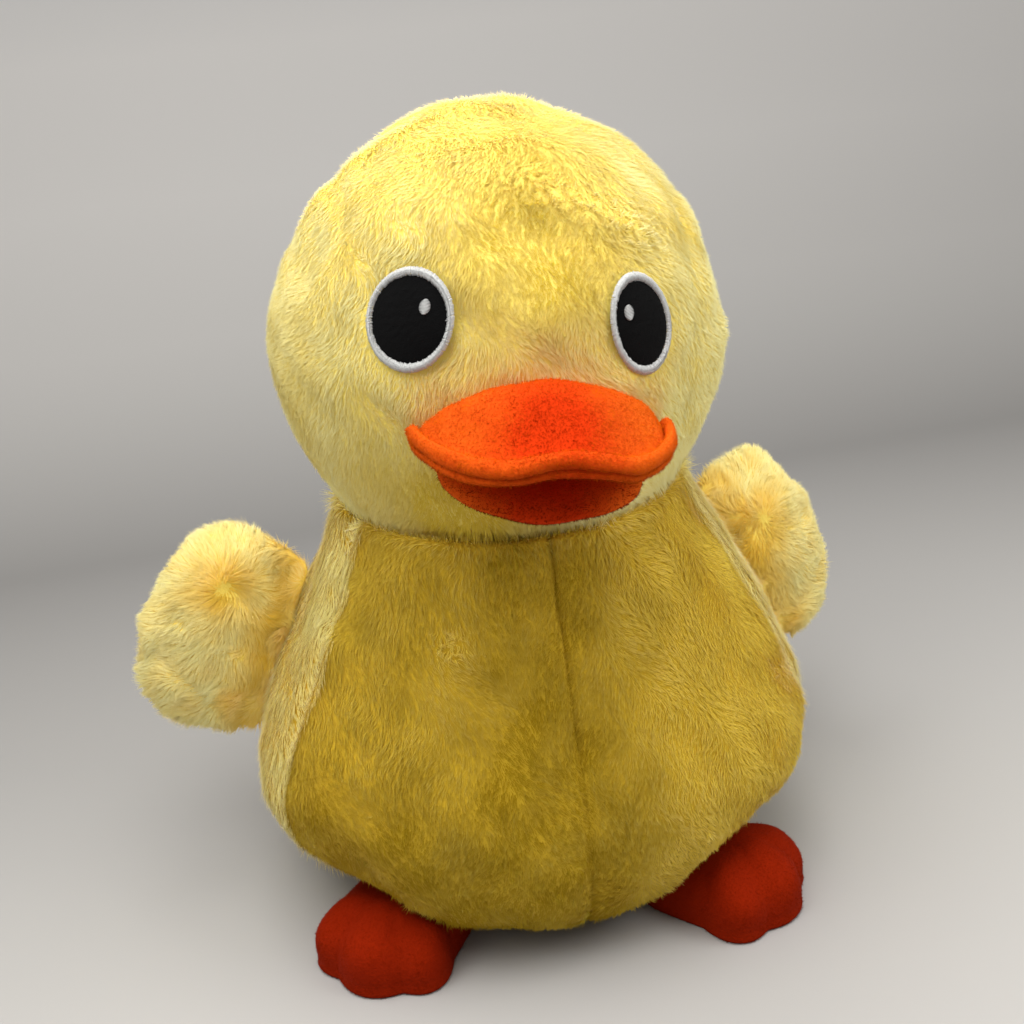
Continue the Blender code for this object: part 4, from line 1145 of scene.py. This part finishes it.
def tubes(name, paths, radii, sides=4):
    """Closed tubes along many paths of the same number of points, thin at both ends."""
    count, steps = paths.shape[:2]
    ahead = unit(np.gradient(paths, axis=1))
    reference = unit(paths.mean(axis=1, keepdims=True) - paths.mean(axis=(0, 1)) + [0, 0, 1e-4])
    side = unit(np.cross(ahead, reference + 0.31 * np.roll(reference, 1, axis=-1)))
    up = np.cross(side, ahead)
    turn = (np.arange(sides) * 2 * math.pi / sides)[:, None]
    ring = side[:, :, None] * np.cos(turn) + up[:, :, None] * np.sin(turn)
    points = paths[:, :, None] + ring * radii[:, :, None, None]
    index = np.arange(count * steps * sides).reshape(count, steps, sides)
    index = np.concatenate([index, index[..., :1]], axis=-1)
    walls = [index[:, :-1, :-1], index[:, 1:, :-1], index[:, 1:, 1:], index[:, :-1, 1:]]
    mesh = face_mesh(name, points.reshape(-1, 3), np.stack(walls, axis=-1).reshape(-1, 4))
    shape = bmesh.new()
    shape.from_mesh(mesh)
    bmesh.ops.holes_fill(shape, edges=shape.edges, sides=sides)
    bmesh.ops.recalc_face_normals(shape, faces=shape.faces)
    shape.to_mesh(mesh)
    shape.free()
    mesh.shade_smooth()
    return mesh


def on_eye(side, x, z, lift):
    """Points over the head, x across and z up from the middle of an eye, lifted off its surface."""
    middle, across, up = eye_axes(side)
    direction = unit(middle + (x[..., None] * across + z[..., None] * up) / BALL_RADIUS)
    return placed(direction * (head_reach(direction) + lift)[..., None], head_frame())


def make_felt(name):
    """Black oval of felt: a flat back and a front that rises as the root of 1 less its radius squared."""
    half = np.array([EYE_WIDTHS[name], EYE_HEIGHT]) / 2 - EYE_RIM + FELT_UNDER_RIM
    turn = round_turn(FELT_COLUMNS)
    front = np.linspace(1, 0, FELT_FRONT_ROWS)
    share = np.concatenate([np.linspace(0, 1, FELT_BACK_ROWS), front])[:, None]
    crown = FELT_EDGE + FELT_CROWN * np.sqrt(1 - front**2 * FELT_ROUND_SHARE)
    lift = np.concatenate([np.full(FELT_BACK_ROWS, FELT_BACK), crown])[:, None]
    x = half[0] * share * np.cos(turn)
    z = half[1] * share * np.sin(turn)
    lift = lift + layered(joined(x, z, 0), FELT_HILLS)
    felt = grid_mesh("eye_felt_" + name, on_eye(name, x, z, lift))
    trim("eye_felt_" + name, felt, "black_felt", "head", ["eye_black_" + name])


def make_rim(name):
    """Satin stitches laid across the edge of an eye, each a tube that arches over it."""
    half = np.array([EYE_WIDTHS[name], EYE_HEIGHT]) / 2
    rng = np.random.default_rng(81)
    angle = (np.arange(RIM_STITCHES) + rng.uniform(-0.25, 0.25, RIM_STITCHES)) * 2 * math.pi / RIM_STITCHES
    run = np.linspace(0, 1, 6)[None, :]
    inner = half - EYE_RIM - RIM_OVER_FELT
    inside = inner[:, None, None] * (1 + 0.010 * rng.normal(size=(1, RIM_STITCHES, 1)))
    outside = half[:, None, None] * (1 + 0.006 * rng.normal(size=(1, RIM_STITCHES, 1)))
    skew = angle[:, None] + RIM_SKEW * (run - 0.5)
    x = (inside[0] + (outside[0] - inside[0]) * run) * np.cos(skew)
    z = (inside[1] + (outside[1] - inside[1]) * run) * np.sin(skew)
    lift = RIM_LIFT + RIM_ARCH * np.sin(math.pi * (0.08 + 0.84 * run)) + 0 * angle[:, None]
    thick = RIM_THREAD * np.sin(math.pi * (0.12 + 0.76 * run)) ** 0.5
    radii = thick * rng.uniform(0.9, 1.1, (RIM_STITCHES, 1))
    ring = tubes("eye_rim_" + name, on_eye(name, x, z, lift), radii)
    trim("eye_rim_" + name, ring, "silver_thread", "head", ["eye_ring_" + name])


def make_glint(name):
    """Level stitches, one over the other, that fill a small oval on the felt."""
    level = ((np.arange(GLINT_ROWS) + 0.5) / GLINT_ROWS * 2 - 1)[:, None]
    run = np.linspace(-1, 1, 7)[None, :]
    x = -SIDES[name] * GLINT_PLACE[0] + np.sqrt(1 - level**2) * GLINT_SIZE[0] * run
    z = GLINT_PLACE[1] + level * GLINT_SIZE[1] + GLINT_SLANT * run
    lift = GLINT_LIFT + GLINT_ARCH * (1 - run**2) + 0 * level
    radii = GLINT_THREAD * (1 - 0.6 * run**2) + 0 * level
    glint = tubes("eye_glint_stitches_" + name, on_eye(name, x, z, lift), radii)
    nodes = ["eye_glint_" + name]
    trim("eye_glint_stitches_" + name, glint, "silver_thread", "head", nodes)


# Beak

BEAK_STATIONS = 81
UPPER_ROLL = 3.1 * MM
LOWER_ROLL = 2.1 * MM
UPPER_PUFF = 6.5 * MM
FULL_PUFF_LENGTH = 20 * MM
UPPER_LIP_BACK = 11.5 * MM
UPPER_LIP_REACH = 57 * MM
UPPER_LIP_SHARE = 1.035

# First and last angle, in degrees, of the arc that each roll of the lip goes round
UPPER_ROLL_ARC = (172, -60)
LOWER_ROLL_ARC = (60, -150)

LIP_DROP = 8.0 * MM
LIP_WAVE = 5.8 * MM
LIP_WAVE_SHARE = 0.42
LIP_CORNER_RISE = 1.2 * MM
LIP_TILT = 0.9 * MM
LOWER_LIP_BACK = 4.5 * MM
LOWER_LIP_REACH = 28 * MM
LOWER_LIP_SHARE = 0.812
LOWER_LIP_DROP_SHARE = 0.264
LOWER_LIP_SAG_SHARE = 0.091

# The lower beak above and below its root's middle: at the corners, and how much more half way
PAD_OVER = (2 * MM, 9.5 * MM)
PAD_UNDER = (1.5 * MM, 5 * MM)
PAD_TURN_SHARE = 0.3
BEAK_HILLS = (0.3 * MM, 22 * MM, 91)


def lip_profile(length, root_half, puff, upper, lower):
    """Closed outline of the upper beak along one line from root to lip, as (ahead, height).

    Over the puffed top, round the large upper roll, into the seam, round the small lower roll
    and back along the underside.
    """
    room = np.clip(length / (3.4 * upper), 0.35, 1)
    upper, lower = upper * room, lower * room
    field = length - 1.75 * upper
    run = np.linspace(-0.25, 1, 22)[None, :]
    swell = np.sin(np.clip(run, 0, 1) ** 0.85 * math.pi) * np.clip(field / FULL_PUFF_LENGTH, 0, 1)
    top = joined(run * field, root_half * smooth(1 - run) + puff * swell + 0.5 * upper * smooth(run))
    arc = np.linspace(*UPPER_ROLL_ARC, 16)[None, :] * DEG
    crown = joined(length - upper + upper * np.cos(arc), 0.9 * upper + upper * np.sin(arc))
    arc = np.linspace(*LOWER_ROLL_ARC, 12)[None, :] * DEG
    hem = joined(length - lower - 0.5 * upper + lower * np.cos(arc), -0.75 * lower + lower * np.sin(arc))
    run = run[:, ::-1]
    field = length - 1.7 * lower - 0.5 * upper
    swell = np.sin(np.clip(run, 0, 1) * math.pi)
    under = joined(run * field, -root_half * smooth(1 - run) - 0.3 * puff * swell - 0.6 * lower * smooth(run))
    return np.concatenate([top, crown, hem, under], axis=1)


def pad_profile(length, root_half, over, under):
    """Closed outline of the lower beak: a pad that keeps its thickness and ends round."""
    root, rest = PAD_TURN_SHARE, 1 - PAD_TURN_SHARE
    bend = np.sin(np.linspace(0, math.pi / 2, 20))
    run = np.concatenate([np.linspace(-root, root, 7)[:-1], root + rest * bend])
    end = np.sqrt(np.clip(1 - (np.clip(run - root, 0, None) / rest) ** 2, 0, None))
    thick = smooth(np.clip(run, 0, 1))
    crest = joined(run * length, (root_half + (over - root_half) * thick) * end)
    below = joined(run * length, -(root_half + (under - root_half) * thick) * end)
    return np.concatenate([crest, below[:, ::-1]], axis=1)


def sweep_beak(name, roots, lip, profile, sizes):
    """A beak half swept across the face, station by station, and closed at both corners."""
    top, bottom = roots
    start = (top + bottom) / 2
    line = lip - start
    length = np.linalg.norm(line, axis=-1, keepdims=True)
    outline = profile(length, (top - bottom)[:, 2:] / 2, *sizes)
    ahead, height = outline[..., :1], outline[..., 1:]
    points = start[:, None] + unit(line)[:, None] * ahead + np.array([0, 0, 1.0]) * height
    ends = [np.broadcast_to(station.mean(axis=0), (1, *station.shape)) for station in (points[0], points[-1])]
    points = np.concatenate([ends[0], points, ends[1]])
    grid = placed(points + stir(points, *BEAK_HILLS), beak_frame())
    nodes = [name + part for part in ("_top", "_underside", "_filling")]
    skin = stuffed(name + "_cloth", grid, "orange_fleece", name, nodes)
    # The beak's cloth holds painted light and shade, paler at the corners and darker down the middle
    store(skin.data, "painted_light", beak_painted_light(read_rows(skin.data.vertices, "co")) + 0.1)
    return skin


def face_spot(azimuth, elevation):
    """A point on the face, in the head's frame."""
    direction = aim(azimuth, elevation)
    return direction * head_reach(direction)[..., None]


def make_beak():
    """Upper beak with a double rolled edge that waves over two lobes, and a plain lower one."""
    across = np.sin(np.linspace(-math.pi / 2, math.pi / 2, BEAK_STATIONS))
    turn = across * math.pi / 2
    reach = np.cos(turn) ** 0.8
    arch = low_arch(across, BEAK_CORNER_ELEVATION, BEAK_TOP_ELEVATION)
    azimuth = across * BEAK_SPREAD
    roots = (face_spot(azimuth, arch), face_spot(azimuth, BEAK_MOUTH_ELEVATION))
    wave = np.sin(np.clip(np.abs(across) / LIP_WAVE_SHARE, 0, 1) * math.pi / 2) ** 2
    end = smooth((np.abs(across) - LIP_WAVE_SHARE) / (1 - LIP_WAVE_SHARE))
    drop = LIP_DROP + LIP_WAVE * wave - LIP_CORNER_RISE * end - LIP_TILT * across
    forward = BALL_RADIUS - UPPER_LIP_BACK + UPPER_LIP_REACH * reach
    lip = joined(UPPER_LIP_SHARE * BALL_RADIUS / 2 * np.sin(turn), -forward, -drop)
    puff = UPPER_PUFF * (1 - 0.22 * fold(across[:, None] - 0.06, 0.12))
    upper = sweep_beak("upper_beak", roots, lip, lip_profile, (puff, UPPER_ROLL, LOWER_ROLL))

    low = low_arch(across, LOWER_TOP_ELEVATION, LOWER_ROOT_ELEVATION) - 1 * DEG
    azimuth = across * LOWER_SPREAD
    roots = (face_spot(azimuth, LOWER_TOP_ELEVATION), face_spot(azimuth, low))
    forward = BALL_RADIUS - LOWER_LIP_BACK + LOWER_LIP_REACH * reach
    drop = (LOWER_LIP_DROP_SHARE + LOWER_LIP_SAG_SHARE * np.cos(turn)) * BALL_RADIUS
    lip = joined(LOWER_LIP_SHARE * BALL_RADIUS / 2 * np.sin(turn), -forward, -drop)
    pad = [edge + middle * np.cos(turn)[:, None] for edge, middle in (PAD_OVER, PAD_UNDER)]
    lower = sweep_beak("lower_beak", roots, lip, pad_profile, pad)
    return upper, lower


# Fleece

NAP_REACH = 1.4 * MM
NAP_WIDTH = 0.42 * MM
NAP_LEAN = 25 * DEG
NAP_TONE = 0.6
NAP_MOTTLE = (0.08, 9 * MM)
NAP_SWIRL = (0.4, 12 * MM)
NAP_SINK = 2 * MM

# Painted light on the upper beak: how much paler it is at its corners and on its left, and how much less
# everywhere
CORNER_PALENESS = 0.35
CORNER_DISTANCE = 40 * MM
LEFT_CORNER_PALENESS = 0.15
PALENESS_LOSS = 0.08

# The painted shade down the middle: how dark, then its place and half size across and ahead
PATCH_SHADE = 0.6
PATCH_ACROSS = (-4 * MM, 20 * MM)
PATCH_AHEAD = (27 * MM, 12 * MM)


def coat_fleece(skin, name, seed, count, middle, material, body, paler=None):
    """Very short nap on orange fleece, combed away from a middle point.

    paler gives how much paler than usual the nap is at each place; on the upper beak that is painted light
    and shade.
    """
    def in_air(points):
        return np.linalg.norm(points - [0, 0, HEAD_HEIGHT], axis=1) > BALL_RADIUS - NAP_SINK

    roots = spread_roots(skin, count, seed, in_air)
    place, _, rng = roots
    away = place - np.array(middle)
    combed = unit(away + stir(place, *NAP_SWIRL, seed) * np.linalg.norm(away, axis=1, keepdims=True))
    tone = NAP_TONE + layered(place, (*NAP_MOTTLE, seed + 3)) + TONE_SCATTER * rng.normal(size=len(place))
    if paler:
        tone = tone + paler(place)
    grow_locks(
        name, roots, combed, NAP_REACH, NAP_WIDTH, NAP_LEAN, np.clip(tone, 0, 1),
        material, body, clump=0.2, stray=0.2, evenness=1.5,
    )


def beak_painted_light(place):
    """Painted light and shade on the upper beak: paler towards its corners, darker down its middle and along
    its crease.
    """
    local = placed(place, beak_frame().inverted())
    sideways = local[:, 0] / CORNER_DISTANCE
    (middle, half_width), (distance, half_length) = PATCH_ACROSS, PATCH_AHEAD
    ahead = -local[:, 1] - BALL_RADIUS
    patch = PATCH_SHADE * fold(local[:, 0] - middle, half_width) * fold(ahead - distance, half_length)
    paler = CORNER_PALENESS * smooth(np.abs(sideways)) + LEFT_CORNER_PALENESS * smooth(sideways)
    return paler - PALENESS_LOSS - patch


# Wings and tail

FLAP_ROWS = 50
FLAP_COLUMNS = 84
WING_COUNT = 36000
WING_SHIFT = 4 * MM
WING_LOCK_REACH = 7.6 * MM
WING_LOCK_WIDTH = 0.54 * MM
WING_LOCK_LEAN = 13 * DEG
WING_CLUMP = 0.13
WING_PILE_HILLS = (20 * MM, 37)
WING_TONE = 0.80
WING_MOTTLE = (0.08, 14 * MM, 35)

# How far the left wing's top corner is turned back and up, and how long and high that corner is
CORNER_SHIFT = (-7 * MM, 0, 9 * MM)
CORNER_LENGTH = 30 * MM
CORNER_HEIGHT = 40 * MM

TAIL_COUNT = 7000
TAIL_SHIFT = 5 * MM
TAIL_LOCK_REACH = 6 * MM
TAIL_LOCK_WIDTH = 0.65 * MM
TAIL_LOCK_LEAN = 22 * DEG
TAIL_TONE = 0.62
TAIL_MOTTLE = (0.12, 14 * MM, 39)
TAIL_TONE_SCATTER = 0.15
TAIL_SWIRL = (0.3, 20 * MM, 43)
LEAST_ROOT_RADIUS = 2 * MM
FLAP_HILLS = (0.9 * MM, 34 * MM, 31)
FLAP_HILLS_SHARE = 0.3

# Places on a wing's front, as how far out and how high
WING_WHORLS = {"left": (12.2 * MM, 15.3 * MM), "right": (23.1 * MM, 20.1 * MM)}
WHORL_DEPTH = 16 * MM
LOWER_FAN_SHIFT = (-6 * MM, 0, -25 * MM)
WING_DIMPLE = (41.8 * MM, -1.8 * MM)
WING_CREASE = ((47 * MM, -25 * MM), (16 * MM, -36 * MM))
WHORL_LINE = (-16 * MM, -1 * MM)

# Depth and width of the tucks there, and the depth of the wing that they pull in
TUCKED_DEPTH = 8 * MM
WHORL_TUCK = (2.6 * MM, 8 * MM)
WHORL_LINE_TUCK = (1.3 * MM, 4 * MM)
DIMPLE_TUCK = (3.0 * MM, 5 * MM)
CREASE_TUCK = (2.4 * MM, 5 * MM)

# Which way a wing's pile lies, its swirls, and how far the fans and shades of its front reach; the shades are
# painted shade, in the whorl's pit and near the root
WING_COMB = (0.35, 0, -0.18)
WING_SWIRL = (0.22, 18 * MM, 33)
COMBED_DEPTH = 6 * MM
WHORL_FAN = 28 * MM
LOWER_FAN = 15 * MM
LOWER_FAN_START = 4 * MM
WHORL_LEAN = (6 * DEG, 6 * MM)
WHORL_SHADE = (0.8, 13 * MM)
ROOT_SHADE = (0.55, 14 * MM)


def flap_frame(place, out, up):
    """A turn and move whose X runs outwards and whose Z runs along a seam."""
    out, up = Vector(out), Vector(up)
    return Matrix.Translation(place) @ Matrix((out, up.cross(out).normalized(), up)).transposed().to_4x4()


WING_FRAMES = {
    "left": flap_frame((0.12107, 0.0186, 0.11714), (0.6378, 0.7156, 0.2848), (-0.3949, -0.0137, 0.9186)),
    "right": flap_frame((-0.1189, 0.01851, 0.12215), (-0.7786, 0.5227, 0.3472), (0.3997, -0.0134, 0.9165)),
}
TAIL_FRAME = flap_frame((0, 0.1093, 0.07182), (0, 0.9135, 0.4067), (1, 0, 0))


def bulge(along, root, peak, peak_at, length):
    """Half size along a flap: root at its hinge, most at peak_at and nothing at its tip."""
    near = peak_at / math.sqrt(1 - (root / peak) ** 2)
    reach = np.where(along < peak_at, near, length - peak_at)
    return peak * np.sqrt(np.clip(1 - ((along - peak_at) / reach) ** 2, 0, None))


def flap_skin(inset, sizes):
    """Rings along a stuffed flap: a round root about its hinge, a swell and a round tip."""
    rows = np.linspace(0, 1, FLAP_ROWS)[:, None]
    turn = round_turn(FLAP_COLUMNS)
    length, height, thickness, root_height, root_radius, droop = sizes
    radius = max(root_radius - inset, LEAST_ROOT_RADIUS)
    back = np.clip(1 - rows / FLAP_ROOT_SHARE, 0, 1) * math.pi / 2
    ahead = np.clip((rows - FLAP_ROOT_SHARE) / (1 - FLAP_ROOT_SHARE), 0, 1) * math.pi / 2
    along = (length - inset) * np.sin(ahead) - radius * np.sin(back)
    ends = np.clip(along, 0, None)
    peak_at = FLAP_PEAK_SHARE * length
    swell = bulge(ends, radius, thickness / 2 - inset, peak_at, length - inset)
    rise = bulge(ends, root_height / 2 - inset, height / 2 - inset, peak_at, length - inset)
    swell = np.where(along < 0, radius * np.cos(back), swell)
    rise = np.where(along < 0, root_height / 2 - inset - radius * (1 - np.cos(back)), rise)
    grid = joined(along, swell * np.sin(turn), rise * np.cos(turn) - droop * ends / length)
    return grid + stir(grid, *FLAP_HILLS) * smooth(rows / FLAP_HILLS_SHARE)[..., None]


def tuck_wing(grid, name, side):
    """Pulls the front of a wing in at its whorl and dimple and along a crease below them."""
    flat = grid[..., [0, 2]]
    whorl = np.array(WING_WHORLS[name])
    pulled = dip(np.linalg.norm(flat - whorl, axis=-1), *WHORL_TUCK)
    pulled += dip(beside_line(flat, whorl, whorl + WHORL_LINE), *WHORL_LINE_TUCK)
    pulled += dip(np.linalg.norm((flat - WING_DIMPLE) * [0.7, 1], axis=-1), *DIMPLE_TUCK)
    pulled += dip(beside_line(flat, *WING_CREASE), *CREASE_TUCK)
    front = smooth(-side * grid[..., 1] / TUCKED_DEPTH)
    return grid + np.array([0, side, 0]) * (pulled * front)[..., None]


def make_wing(name, side):
    """A wing's skin, set a little in towards the body, the left one with its top corner turned back."""
    grid = tuck_wing(flap_skin(WING_CLOTH, WING_SIZES), name, side) - [WING_SHIFT, 0, 0]
    if name == "left":
        corner = smooth(grid[..., 2:] / CORNER_HEIGHT) * smooth(1 - grid[..., :1] / CORNER_LENGTH)
        grid = grid + corner * np.array(CORNER_SHIFT)
    nodes = ["wing_" + name + part for part in ("_front", "_back", "_filling")]
    return stuffed(
        "wing_" + name + "_cloth", placed(grid, WING_FRAMES[name]), "wing_backing", "wing_" + name, nodes,
    )


def coat_wing(name, skin, side, seed):
    """Long silky pile that fans out from a whorl on the front, and again from a point below it."""
    matrix = WING_FRAMES[name]
    roots = spread_roots(skin, WING_COUNT, seed)
    place, _, rng = roots
    local = placed(place, matrix.inverted())
    front = smooth(-side * local[:, 1:2] / COMBED_DEPTH)
    out, height = WING_WHORLS[name]
    whorl = np.array([out, -side * WHORL_DEPTH, height])
    fan = whorl + LOWER_FAN_SHIFT
    away, below = local - whorl, local - fan
    near = np.linalg.norm(away, axis=1, keepdims=True)
    under = np.linalg.norm(below, axis=1, keepdims=True)
    fanned = away / near * (0.25 + fold(near, WHORL_FAN))
    fanned += 1.1 * below / under * fold(under, LOWER_FAN) * smooth(-below[:, 2:] / LOWER_FAN_START)
    combed = front * fanned + WING_COMB + stir(place, *WING_SWIRL)
    combed = combed @ np.array(matrix)[:3, :3].T
    shade, length = ROOT_SHADE
    # Painted shade: the pile is darker in the whorl's pit and near the wing's root, against the body
    tone = WING_TONE + layered(place, WING_MOTTLE) - (front * dip(near, *WHORL_SHADE))[:, 0]
    tone = tone - shade * smooth(1 - local[:, 0] / length) + TONE_SCATTER * rng.normal(size=len(place))
    reach = WING_LOCK_REACH * (1 + PILE_UNEVENNESS * hills(place, *WING_PILE_HILLS))
    lean = WING_LOCK_LEAN + dip(near[:, 0], *WHORL_LEAN)
    grow_locks(
        "pile_wing_" + name, roots, combed, reach, WING_LOCK_WIDTH, lean, np.clip(tone, 0, 1),
        "wing_pile", "wing_" + name, clump=WING_CLUMP, stray=PILE_STRAY,
    )


def make_tail():
    """A small flat flap under the back's seam, with pile that runs to its tip."""
    grid = flap_skin(TAIL_CLOTH, TAIL_SIZES) - [TAIL_SHIFT, 0, 0]
    skin = stuffed(
        "tail_cloth", placed(grid, TAIL_FRAME), "yellow_backing", "tail",
        ["tail_top", "tail_underside", "tail_filling"],
    )
    roots = spread_roots(skin, TAIL_COUNT, 24)
    place, _, rng = roots
    combed = np.array(TAIL_FRAME)[:3, 0] + stir(place, *TAIL_SWIRL)
    tone = TAIL_TONE + layered(place, TAIL_MOTTLE) + TAIL_TONE_SCATTER * rng.normal(size=len(place))
    grow_locks(
        "pile_tail", roots, combed, TAIL_LOCK_REACH, TAIL_LOCK_WIDTH, TAIL_LOCK_LEAN,
        np.clip(tone, 0, 1), "gold_pile", "tail", clump=0.25, stray=0.10,
    )


# Feet

FOOT_COLUMNS = 144
SOLE_HEIGHT = 0.5 * MM
SOLE_SHARE = 0.985
SOLE_ROWS = 14
HEM_HEIGHTS = (1.6 * MM, 2.8 * MM)
TOP_HEIGHT = 3 * MM
TOP_ROWS = 40
WEB_DEPTH = 0.7 * MM
FOOT_HILLS = (0.8 * MM, 26 * MM, 95)

# How far off the body's pile is felt, the room under it, and the least heights there and elsewhere
UNDER_PILE_REACH = 4 * MM
UNDER_PILE = 0.5 * MM
UNDER_PILE_LEAST = 2 * MM
OFF_FLOOR = 0.4 * MM

# Where each foot's hinge is, which way it points and up
FOOT_FRAMES = {
    "left": flap_frame((0.05733, -0.0612, 0.006), (0.6691, -0.7431, 0), (0, 0, 1)),
    "right": flap_frame((-0.06984, -0.04813, 0.006), (-0.5592, -0.829, 0), (0, 0, 1)),
}


def foot_outline(turn):
    """Distance from a foot's middle to its edge: a super-oval, squarer at the heel, with three round toes."""
    squareness = np.where(np.cos(turn) < 0, FOOT_HEEL_SQUARENESS, FOOT_SQUARENESS)
    lobe = (0.5 + 0.5 * np.cos(turn * 2 * math.pi / TOE_PERIOD)) ** TOE_ROUNDNESS
    toes = np.where(np.abs(turn) < 1.5 * TOE_PERIOD, lobe, 0)
    ahead = np.abs(np.cos(turn)) / (FOOT_LENGTH / 2)
    across = np.abs(np.sin(turn)) / (FOOT_WIDTH / 2)
    oval = (ahead**squareness + across**squareness) ** (-1 / squareness)
    return oval * (1 - TOE_NOTCH_SHARE + TOE_NOTCH_SHARE * toes)


def body_underside(places):
    """Height of the body's pile over points of the floor, from the nearest points of its skin."""
    angle = np.linspace(-math.pi, math.pi, 241)[None, :-1]
    share = np.linspace(0, LOWER_ROWS_SHARE, 60)[:, None]
    skin = body_skin(angle, share + 0 * angle, 0).reshape(-1, 3)
    gap = ((places[:, None, :2] - skin[None, :, :2]) ** 2).sum(axis=-1)
    nearest = np.argpartition(gap, 4, axis=1)[:, :4]
    closeness = 1 / (np.take_along_axis(gap, nearest, axis=1) + 1e-8)
    height = (skin[nearest, 2] * closeness).sum(axis=1) / closeness.sum(axis=1)
    return np.where(gap.min(axis=1) > UNDER_PILE_REACH**2, 1.0, height)


def make_foot(name):
    """A pad of fleece: flat sole, a seam round its edge and a soft dome with creases between toes."""
    turn = round_turn(FOOT_COLUMNS)
    turn = np.where(turn > math.pi, turn - 2 * math.pi, turn)
    edge = foot_outline(turn)
    heel = (1 - TOE_DEPTH_SHARE) * FOOT_LENGTH / 2 - FOOT_TUCK

    def level(share, height):
        ahead, across = share * edge * np.cos(turn), share * edge * np.sin(turn)
        return joined(heel + ahead, across, height - FOOT_HINGE_HEIGHT)

    sole = level(np.linspace(0, SOLE_SHARE, SOLE_ROWS)[:, None], SOLE_HEIGHT)
    hem = level(np.array([[1.0], [SOLE_SHARE]]), np.array(HEM_HEIGHTS)[:, None])
    share = np.sin(np.linspace(math.pi / 2, 0, TOP_ROWS))[:, None] * SOLE_SHARE
    growth = smooth((heel + share * edge * np.cos(turn)) / (FOOT_SWELL_SHARE * FOOT_LENGTH))
    swell = FOOT_ROOT_THICKNESS + (FOOT_THICKNESS - FOOT_ROOT_THICKNESS) * growth - TOP_HEIGHT
    dome = np.clip(1 - (share / SOLE_SHARE) ** FOOT_DOME_SQUARENESS, 0, None) ** (1 / FOOT_DOME_SQUARENESS)
    between_toes = smooth(-np.cos(turn * 2 * math.pi / TOE_PERIOD)) * (np.abs(turn) < 1.2 * TOE_PERIOD)
    web = WEB_DEPTH * between_toes * smooth(share / 0.9) * dome
    top = level(share, TOP_HEIGHT + swell * dome - web)
    top = top + stir(top, *FOOT_HILLS) * dome[..., None] * [1, 1, 0.8]
    grid = placed(np.concatenate([sole, hem, top[1:]]), FOOT_FRAMES[name])
    room = body_underside(grid.reshape(-1, 3)).reshape(grid.shape[:2]) - UNDER_PILE
    height = np.minimum(grid[..., 2], np.maximum(room, UNDER_PILE_LEAST))
    grid[..., 2] = np.maximum(height, OFF_FLOOR)
    nodes = ["foot_" + name + part for part in ("_top", "_sole", "_filling")]
    return stuffed("foot_" + name + "_cloth", grid, "red_fleece", "foot_" + name, nodes)


# The whole duck

# Points that the nap of each beak is combed away from
UPPER_BEAK_MIDDLE = (0, -0.02, 0.262)
LOWER_BEAK_MIDDLE = (0, -0.06, 0.235)


def dress_inside():
    """Stuffing and the pellet bag keep their solids, with their own cloth and fibre."""
    for node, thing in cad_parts.items():
        if node.endswith("filling") or node == "pellet_bag":
            material = bpy.data.materials["pellet_weave" if node == "pellet_bag" else "white_fibre"]
            for place in thing.material_slots:
                place.material = material


stand_camera()
light_studio()
lay_floor()
make_finishes()
dress_inside()
coat_body(make_body())
coat_head(make_head())
for eye in SIDES:
    make_felt(eye)
    make_rim(eye)
    make_glint(eye)
upper_beak, lower_beak = make_beak()
coat_fleece(
    upper_beak, "nap_upper_beak", 31, 33000, UPPER_BEAK_MIDDLE, "orange_nap", "upper_beak",
    beak_painted_light,
)
coat_fleece(lower_beak, "nap_lower_beak", 32, 8000, LOWER_BEAK_MIDDLE, "red_nap", "lower_beak")
for wing, wing_seed in (("left", 21), ("right", 22)):
    coat_wing(wing, make_wing(wing, SIDES[wing]), SIDES[wing], wing_seed)
make_tail()
for foot, foot_frame in FOOT_FRAMES.items():
    coat_fleece(
        make_foot(foot), "nap_foot_" + foot, 33, 10000, foot_frame.translation, "red_nap", "foot_" + foot,
    )
